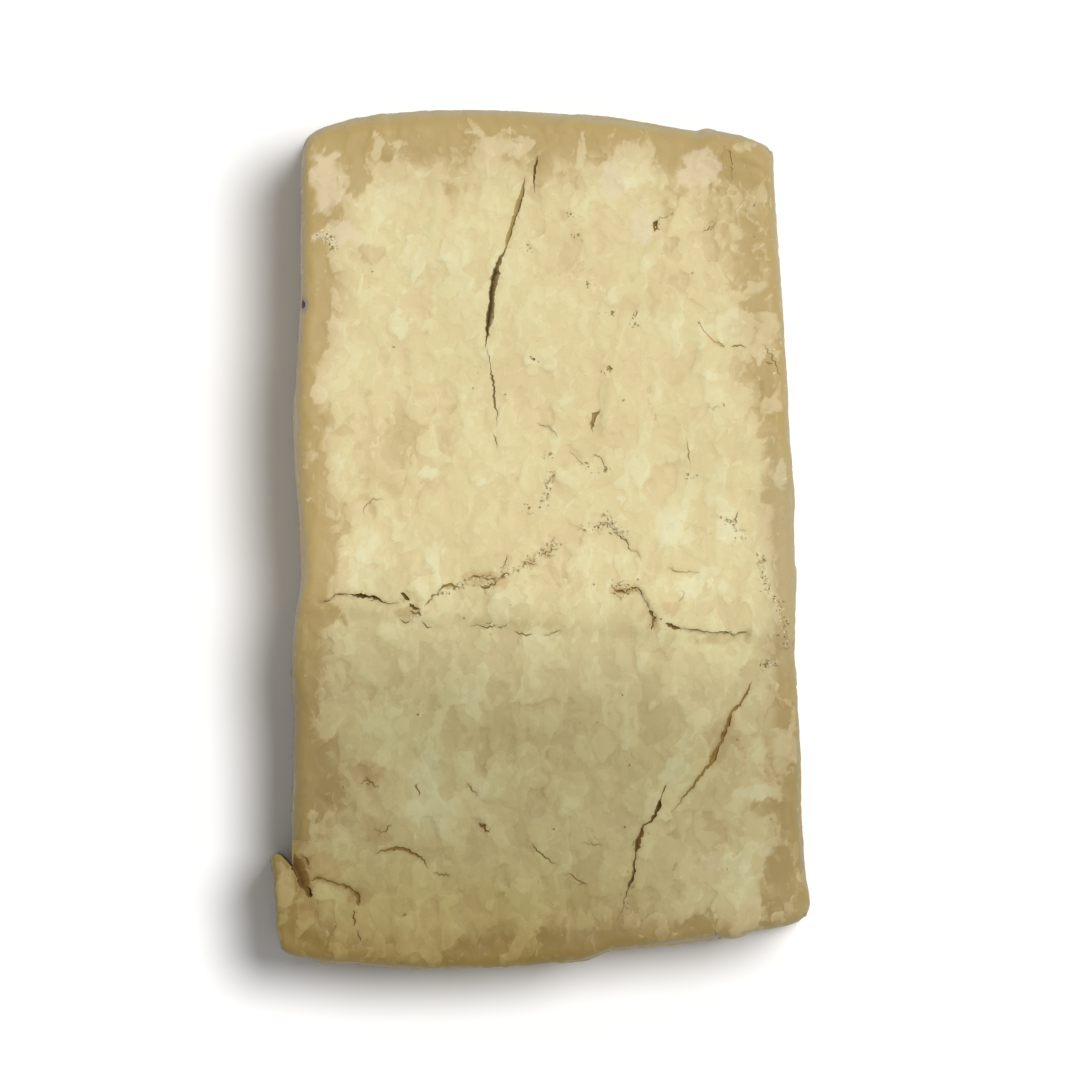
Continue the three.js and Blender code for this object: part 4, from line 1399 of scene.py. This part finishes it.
    def painted_front_shade(self, plan: np.ndarray) -> np.ndarray:
        """Gives how far each place has passed into the front half, which is painted darker: painted shade,
        less of it on the right.
        """
        right = smoothstep(plan[:, 0], 5, 50)
        return smoothstep(self.face.below(plan), -17, 27) * (1 - 0.25 * right)

    def amber(self, plan: np.ndarray) -> np.ndarray:
        """Gives how far each place has passed into the yellower front left end."""
        return smoothstep(self.face.below(plan), 38, 66) * (1 - smoothstep(plan[:, 0], -5, 42))

    def _crumble(self, plan: np.ndarray) -> np.ndarray:
        """Works out where the curd has crumbled: along the crumbly stretches and round the single pits.

        Args:
            plan: Places in the plan.

        Returns:
            A share for each place.
        """
        spots = [(point, 1.5) for route in CRUMBLY for point in Crack(route, 1, 1).walk(1.2)[0]]
        spots += [(np.array([x, y]), 0.6 + size) for x, y, size in PITS]
        crumbled = np.zeros(len(plan))
        for spot, reach in spots:
            near = np.flatnonzero(np.all(np.abs(plan - spot) < reach, axis=1))
            share = 1 - smoothstep(np.hypot(*(plan[near] - spot).T), 0.2 * reach, reach)
            crumbled[near] = np.maximum(crumbled[near], share)
        return crumbled

    def _margins(self, places: np.ndarray) -> tuple[np.ndarray, np.ndarray, np.ndarray]:
        """Works out how far the outside has dried in from the walls.

        Args:
            places: Places in space.

        Returns:
            Shares for each place: browned, within the plain brown band, and greyed on the right side.
        """
        plan = places[:, :2]
        uneven = rough(places / self.margin_size, Layer.MARGIN.value)
        distances = self.plan.margins(plan)
        margin, band = np.zeros(len(places)), np.zeros(len(places))
        for wall, dried in MARGINS.items():
            narrowed = mix(1, dried.narrowed, smoothstep(plan[:, dried.axis], *dried.narrows))
            reach = dried.reach * (1 + self.margin_uneven * uneven) * narrowed
            margin = np.maximum(margin, 1 - smoothstep(distances[wall] / reach, 0, 1))
            if dried.band is not None:
                band = np.maximum(band, 1 - smoothstep(distances[wall], *dried.band))
        margin *= mix(self.margin_at_foot, 1, smoothstep(places[:, 2], *self.margin_heights))
        right = distances[Wall.RIGHT]
        grey = 1 - smoothstep(np.abs(plan[:, 1] - self.grey_middle), *self.grey_fade)
        band = np.maximum(band, self.grey_band * grey * (1 - smoothstep(right, *self.grey_band_reach)))
        return margin, band, grey * self.grey_share * (1 - smoothstep(right, *self.grey_reach))

    def _crack_shades(self, places: np.ndarray, lip: np.ndarray) -> tuple[np.ndarray, np.ndarray]:
        """Works out the painted shade inside the cracks, darker towards the foot, and how far they stain
        their lips.

        Args:
            places: Places in space.
            lip: The face's height at each.

        Returns:
            The depth within a crack and the stain, for each place.
        """
        gap, stain = np.zeros(len(places)), np.zeros(len(places))
        for crack, near, aside, ends in self._near_cracks(places[:, :2], self.shade_reach):
            sunk = np.clip((lip[near] - places[near, 2]) / self.shade_depth, 0, 1)
            inside = 1 - smoothstep(np.abs(aside), 0.7 * crack.gap, crack.gap + 0.3)
            gap[near] = np.maximum(gap[near], np.maximum(sunk, crack.dark) * inside)
            spread = 1 - smoothstep(np.abs(aside), 0, 0.3 + 0.6 * crack.gap)
            stain[near] = np.maximum(stain[near], 0.5 * crack.stain * ends * spread)
        return gap, stain

    def _write_fields(self, piece: bpy.types.Object) -> None:
        """Writes what the finish reads: flakes, tones, browned margins, painted front shade, cracks and
        mould.

        Args:
            piece: The block.
        """
        places = places_of(piece)
        plan = places[:, :2]
        lip = self.face.height(plan)
        upright = normals_of(piece)[:, 2]
        flake, blush, ochre = self._patches(places)
        margin, band, grey = self._margins(places)
        gap, stain = self._crack_shades(places, lip)
        below = lip - places[:, 2]
        # A greyer strip painted on the steep upper shoulders: a painted grazing reflection.
        steep = 1 - smoothstep(upright, *self.rim_slopes)
        rim = self.rim_share * steep * (1 - smoothstep(below, *self.rim_depths))
        middle = self.face.height(np.array([self.mould_at]))[0] - self.mould_drop
        away = np.linalg.norm((places - (*self.mould_at, middle)) * self.mould_shape, axis=1)
        fields = {
            "mould": np.clip(1 - away / self.mould_reach, 0, 1),
            "flake": flake,
            "blush": blush,
            "tone": 0.5 + 0.5 * rough(places / self.tone_size, Layer.CURD_TONE.value),
            "margin": margin,
            "band": band,
            "edge": np.maximum(rim, grey),
            "painted_front_shade": self.painted_front_shade(plan),
            "amber": self.amber(plan),
            "crumble": self._crumble(plan),
            "gap": gap,
            "stain": stain,
            "ochre": ochre,
        }
        for name, values in fields.items():
            write_field(piece, name, values)


# The fields that the finish reads from a mesh.
FIELDS = (
    "flake", "blush", "tone", "margin", "band", "edge", "painted_front_shade", "amber", "gap", "stain", "ochre", "crumble",
    "mould", "cut")


@dataclass(frozen=True)
class CheddarFinish:
    """Mature cheddar, pressed and broken by hand.

    Pressed curd is waxy and takes a soft sheen. Where it breaks it is dry, pale and crumbly. The outside has
    dried to brown. The front half is painted dimmer and greener, as painted shade.
    """

    wax: str = "#d1be8d"
    butter: str = "#d6c996"
    flake: str = "#ddd6ac"
    blush: str = "#d6c4a0"
    crust: str = "#b29a64"
    crust_flake: str = "#c9b588"
    rim: str = "#b0a98c"
    tan: str = "#f8f0eb"
    fleck: str = "#e6dab0"
    pore: str = "#98834c"
    ochre: str = "#b8955a"
    stain: str = "#94763f"
    wall: str = "#aa9050"
    shaded_front_wall: str = "#987c42"
    crack: str = "#684e20"
    painted_front_shade: str = "#c3c2b4"
    amber: str = "#efe7cc"
    mould: str = "#3f2b2b"
    mould_halo: str = "#98847e"
    cloud: float = 4.5
    speckle: float = 0.8
    roughness: Spot = (0.45, 0.68)
    cut_roughness: float = 0.3
    ior: float = 1.45
    sheen: float = 0.3
    glow: float = 0.12
    glow_radius: tuple[float, float, float] = (1.0, 0.65, 0.3)
    glow_reach: float = 2.0
    bump: Spot = (0.25, 0.6)
    bump_depth: float = 0.15

    def material(self, pattern: CurdPattern) -> bpy.types.Material:
        """Makes the material.

        Args:
            pattern: How the curd breaks.

        Returns:
            The material.
        """
        material = bpy.data.materials.new("mature_cheddar")
        material.use_nodes = True
        tree = material.node_tree
        tree.nodes.clear()
        spread = {
            name: add_node(tree, "ShaderNodeAttribute", {}, attribute_name=name).outputs["Fac"]
            for name in FIELDS
        }
        curd = pattern.add_to(tree, add_node(tree, "ShaderNodeTexCoord", {}).outputs["Object"])

        def total(start: object, *shares: tuple[Socket, float]) -> Socket:
            """Adds shares of several numbers to a start."""
            for socket, share in shares:
                start = add_node(tree, "ShaderNodeMath", {0: socket, 1: share, 2: start},
                                 operation="MULTIPLY_ADD").outputs[0]
            return start

        def ramp(value: Socket, low: float, high: float, to: Spot = (0.0, 1.0)) -> Socket:
            """Turns a number from low to high into one of another range, smoothly."""
            node = add_node(tree, "ShaderNodeMapRange", {
                "Value": value, "From Min": low, "From Max": high, "To Min": to[0], "To Max": to[1]},
                interpolation_type="SMOOTHSTEP")
            return node.outputs["Result"]

        def blend(factor: object, low: object, high: object, how: str = "MIX") -> Socket:
            """Blends two colours by a factor."""
            node = add_node(tree, "ShaderNodeMix", {0: factor, 6: low, 7: high},
                            data_type="RGBA", blend_type=how)
            return node.outputs[2]

        cloud = add_node(tree, "ShaderNodeTexNoise", {
            "Vector": curd["drawn"], "Scale": 1 / self.cloud, "Detail": 3.0}).outputs["Fac"]
        flaky = total(
            0.045, (curd["plate"], 0.1), (curd["flake"], 0.11), (curd["grain"], 0.05), (cloud, 0.13),
            (curd["isle"], 0.15), (curd["scrap"], 0.11), (spread["flake"], 0.26), (spread["tone"], 0.16))
        body = blend(ramp(flaky, 0.1, 0.6), linear(self.wax), linear(self.butter))
        body = blend(ramp(flaky, 0.4, 0.85), body, linear(self.flake))
        body = blend(ramp(spread["margin"], 0.1, 0.7), body, linear(self.tan), "MULTIPLY")
        brown = total(
            0.27, (spread["margin"], 1.0), (curd["plate"], -0.1), (curd["flake"], -0.12), (cloud, -0.1),
            (curd["isle"], -0.11), (curd["scrap"], -0.11), (spread["flake"], -0.3), (spread["band"], 0.1))
        torn = total(flaky, (spread["margin"], -0.4), (spread["band"], -0.35), (spread["flake"], 0.15))
        crust = blend(ramp(torn, 0.05, 0.3), linear(self.crust), linear(self.crust_flake))
        colour = blend(ramp(brown, -0.15, 0.85), body, crust)
        # The edge field paints the rim's grey grazing reflection, and greys the middle of the right side.
        colour = blend(spread["edge"], colour, linear(self.rim))
        colour = blend(ramp(spread["blush"], 0.0, 1.0, (0.0, 0.6)), colour, linear(self.blush))
        fleck = total(0.0, (curd["grain"], 0.8), (curd["tear"], 0.6), (spread["band"], -0.3))
        colour = blend(ramp(fleck, 1.05, 1.2, (0.0, 0.2)), colour, linear(self.fleck))
        speckle = add_node(tree, "ShaderNodeTexNoise", {
            "Vector": curd["places"], "Scale": 1 / self.speckle, "Detail": 1.0}).outputs["Fac"]
        crumbs = total(0.0, (spread["crumble"], 0.25), (speckle, 1.0))
        pores = total(0.0, (spread["crumble"], 0.25), (speckle, -1.0))
        colour = blend(ramp(crumbs, 0.76, 0.9, (0.0, 0.35)), colour, linear(self.fleck))
        colour = blend(ramp(pores, -0.26, -0.12, (0.0, 0.5)), colour, linear(self.pore))
        colour = blend(ramp(spread["ochre"], 0.0, 1.0, (0.0, 0.35)), colour, linear(self.ochre))
        colour = blend(spread["stain"], colour, linear(self.stain))
        # The front half is multiplied darker and greener: painted shade, lighter on the margins and the
        # isles.
        painted_front_shade = total(
            0.0, (spread["painted_front_shade"], 1.0), (spread["margin"], -0.12), (curd["isle"], -0.08),
            (curd["scrap"], -0.06))
        colour = blend(painted_front_shade, colour, linear(self.painted_front_shade), "MULTIPLY")
        colour = blend(spread["amber"], colour, linear(self.amber), "MULTIPLY")
        # Crack walls are brown torn curd. They are painted darker in the front half and towards each crack's
        # foot, as painted shade.
        walls = blend(spread["painted_front_shade"], linear(self.wall), linear(self.shaded_front_wall))
        depths = blend(ramp(spread["gap"], 0.0, 0.6), walls, linear(self.crack))
        colour = blend(spread["cut"], colour, depths)
        mould = total(0.0, (spread["mould"], 1.0), (curd["tear"], 0.3))
        colour = blend(ramp(mould, 0.25, 0.75, (0.0, 0.8)), colour, linear(self.mould_halo))
        colour = blend(ramp(mould, 0.75, 0.85), colour, linear(self.mould))

        dry = ramp(flaky, 0.1, 0.7, self.roughness)
        height = total(
            0.0, (curd["tear"], 0.7), (curd["grain"], 0.3), (curd["isle"], 0.3), (curd["scrap"], 0.3))
        bump = add_node(tree, "ShaderNodeBump", {
            "Height": height, "Strength": ramp(spread["flake"], -0.6, 0.0, self.bump),
            "Distance": self.bump_depth * MM})
        shader = add_node(tree, "ShaderNodeBsdfPrincipled", {
            "Base Color": colour, "Roughness": total(dry, (spread["cut"], self.cut_roughness)),
            "IOR": self.ior, "Specular IOR Level": self.sheen, "Subsurface Weight": self.glow,
            "Subsurface Radius": self.glow_radius, "Subsurface Scale": self.glow_reach * MM,
            "Normal": bump.outputs["Normal"]})
        add_node(tree, "ShaderNodeOutputMaterial", {"Surface": shader.outputs["BSDF"]})
        return material


@dataclass
class Crumbs:
    """Loose crumbs that lie on the face, most of them along the crumbly stretches and the crack lips."""

    chunk: CheddarChunk
    for_each_stretch: int = 12
    for_each_crack: int = 4
    for_each_pit: int = 3
    sizes: Spot = (0.12, 0.32)
    stretches: Spot = (0.6, 1.3)
    dents: Spot = (0.7, 1.2)
    flatness: float = 0.7
    lift: float = 0.25
    pace: float = 0.6
    stretch_spread: float = 0.9
    pit_spread: float = 0.8
    lip_spread: Spot = (0.2, 0.9)
    flaky: float = 0.6
    tone: float = 0.8

    def build(self, ground: bpy.types.Object) -> bpy.types.Object:
        """Strews the crumbs as one joined mesh.

        Args:
            ground: The chunk that they lie on.

        Returns:
            The finished piece.
        """
        draw = np.random.default_rng(SEED + 3)
        deselect()
        bpy.ops.mesh.primitive_ico_sphere_add(subdivisions=1, radius=1)
        piece = bpy.context.object
        piece.name = piece.data.name = "crumbs"
        shape = places_of(piece) * MM
        sides = np.array([face.vertices[:] for face in piece.data.polygons])
        surface = BVHTree.FromObject(ground, bpy.context.evaluated_depsgraph_get())
        vertices, faces = [], []
        for x, y in self._spots(draw):
            size = draw.uniform(*self.sizes)
            found = surface.ray_cast(Vector((x * MM, y * MM, 1)), Vector((0, 0, -1)))[0]
            if found is None:
                continue
            stretch = draw.uniform(*self.stretches, 3) * (1, 1, self.flatness)
            lump = shape * draw.uniform(*self.dents, (len(shape), 1)) * stretch * size
            faces.append(sides + len(shape) * len(vertices))
            vertices.append(lump + np.array(found) / MM + (0, 0, self.lift * size))
        places = np.concatenate(vertices)
        mesh = piece.data
        mesh.clear_geometry()
        mesh.from_pydata((places * MM).tolist(), [], np.concatenate(faces).tolist())
        write_field(piece, "flake", np.full(len(places), self.flaky))
        write_field(piece, "tone", np.full(len(places), self.tone))
        write_field(piece, "painted_front_shade", self.chunk.painted_front_shade(places[:, :2]))
        write_field(piece, "amber", self.chunk.amber(places[:, :2]))
        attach(piece, "root")
        return piece

    def _spots(self, draw: np.random.Generator) -> np.ndarray:
        """Draws where the crumbs lie.

        Args:
            draw: The source of the draws.

        Returns:
            One place in the plan for each crumb.
        """
        spots = []
        for route in CRUMBLY:
            picked = draw.choice(Crack(route, 1, 1).walk(self.pace)[0], self.for_each_stretch)
            spots.append(picked + draw.normal(0, self.stretch_spread, picked.shape))
        near = np.repeat(np.array(PITS)[:, :2], self.for_each_pit, axis=0)
        spots.append(near + draw.normal(0, self.pit_spread, near.shape))
        for crack in CRACKS:
            if crack.splinters:
                points, left, _ = crack.walk(self.pace)
                picked = draw.integers(2, len(points) - 2, self.for_each_crack)
                side = draw.choice((-1, 1), self.for_each_crack)
                aside = side * (crack.gap / 2 + draw.uniform(*self.lip_spread, self.for_each_crack))
                spots.append(points[picked] + left[picked] * aside[:, None])
        return np.concatenate(spots)


@dataclass
class Studio:
    """A white floor under soft light from high on the right, and the camera straight above."""

    floor_size: float = 8.0
    floor_colour: str = "#f9f9f9"
    sky: float = 0.32
    key: float = 2.65
    key_spread: float = 19.0
    key_way: tuple[float, float, float] = (0.275, 0.165, 1.0)
    aim: tuple[float, float, float] = (-0.1, -0.2, 38.0)
    camera_height: float = 8000.0
    field: float = 216.0

    def build(self) -> None:
        """Sets up the floor, the light and the camera."""
        deselect()
        bpy.ops.mesh.primitive_plane_add(size=self.floor_size)
        floor = bpy.context.object
        floor.name = "floor"
        paper = bpy.data.materials.new("matt_white_paper")
        paper.use_nodes = True
        shader = paper.node_tree.nodes["Principled BSDF"]
        shader.inputs["Base Color"].default_value = linear(self.floor_colour)
        shader.inputs["Roughness"].default_value = 0.9
        shader.inputs["Specular IOR Level"].default_value = 0.0
        floor.data.materials.append(paper)

        sun = bpy.data.lights.new("key", "SUN")
        sun.energy = self.key
        sun.angle = math.radians(self.key_spread)
        lamp = bpy.data.objects.new("key", sun)
        lamp.rotation_euler = Vector(self.key_way).to_track_quat("Z", "Y").to_euler()
        bpy.context.collection.objects.link(lamp)

        scene = bpy.context.scene
        scene.world = bpy.data.worlds.new("soft_sky")
        scene.world.use_nodes = True
        sky = scene.world.node_tree.nodes["Background"]
        sky.inputs["Color"].default_value = (1, 1, 1, 1)
        sky.inputs["Strength"].default_value = self.sky
        scene.view_settings.view_transform = "Standard"

        camera = bpy.data.objects.new("camera", bpy.data.cameras.new("camera"))
        camera.data.lens = camera.data.sensor_width * self.camera_height / self.field
        camera.data.clip_end = 100
        camera.location = MM * (Vector(self.aim) + Vector((0, 0, self.camera_height)))
        bpy.context.collection.objects.link(camera)
        scene.camera = camera


def main() -> None:
    """Builds the chunk, dresses it and sets the studio round it."""
    logging.basicConfig(level=logging.INFO, format="%(name)s: %(message)s")
    chunk = CheddarChunk()
    piece = chunk.build()
    crumbs = Crumbs(chunk).build(piece)
    finish = CheddarFinish().material(chunk.pattern)
    for dressed in (piece, crumbs):
        dressed.data.materials.clear()
        dressed.data.materials.append(finish)
        triangles = sum(len(face.vertices) - 2 for face in dressed.data.polygons)
        log.info("%s: %d triangles", dressed.name, triangles)
    Studio().build()
    log.info("studio: floor, key light, sky and camera")


if __name__ == "__main__":
    main()
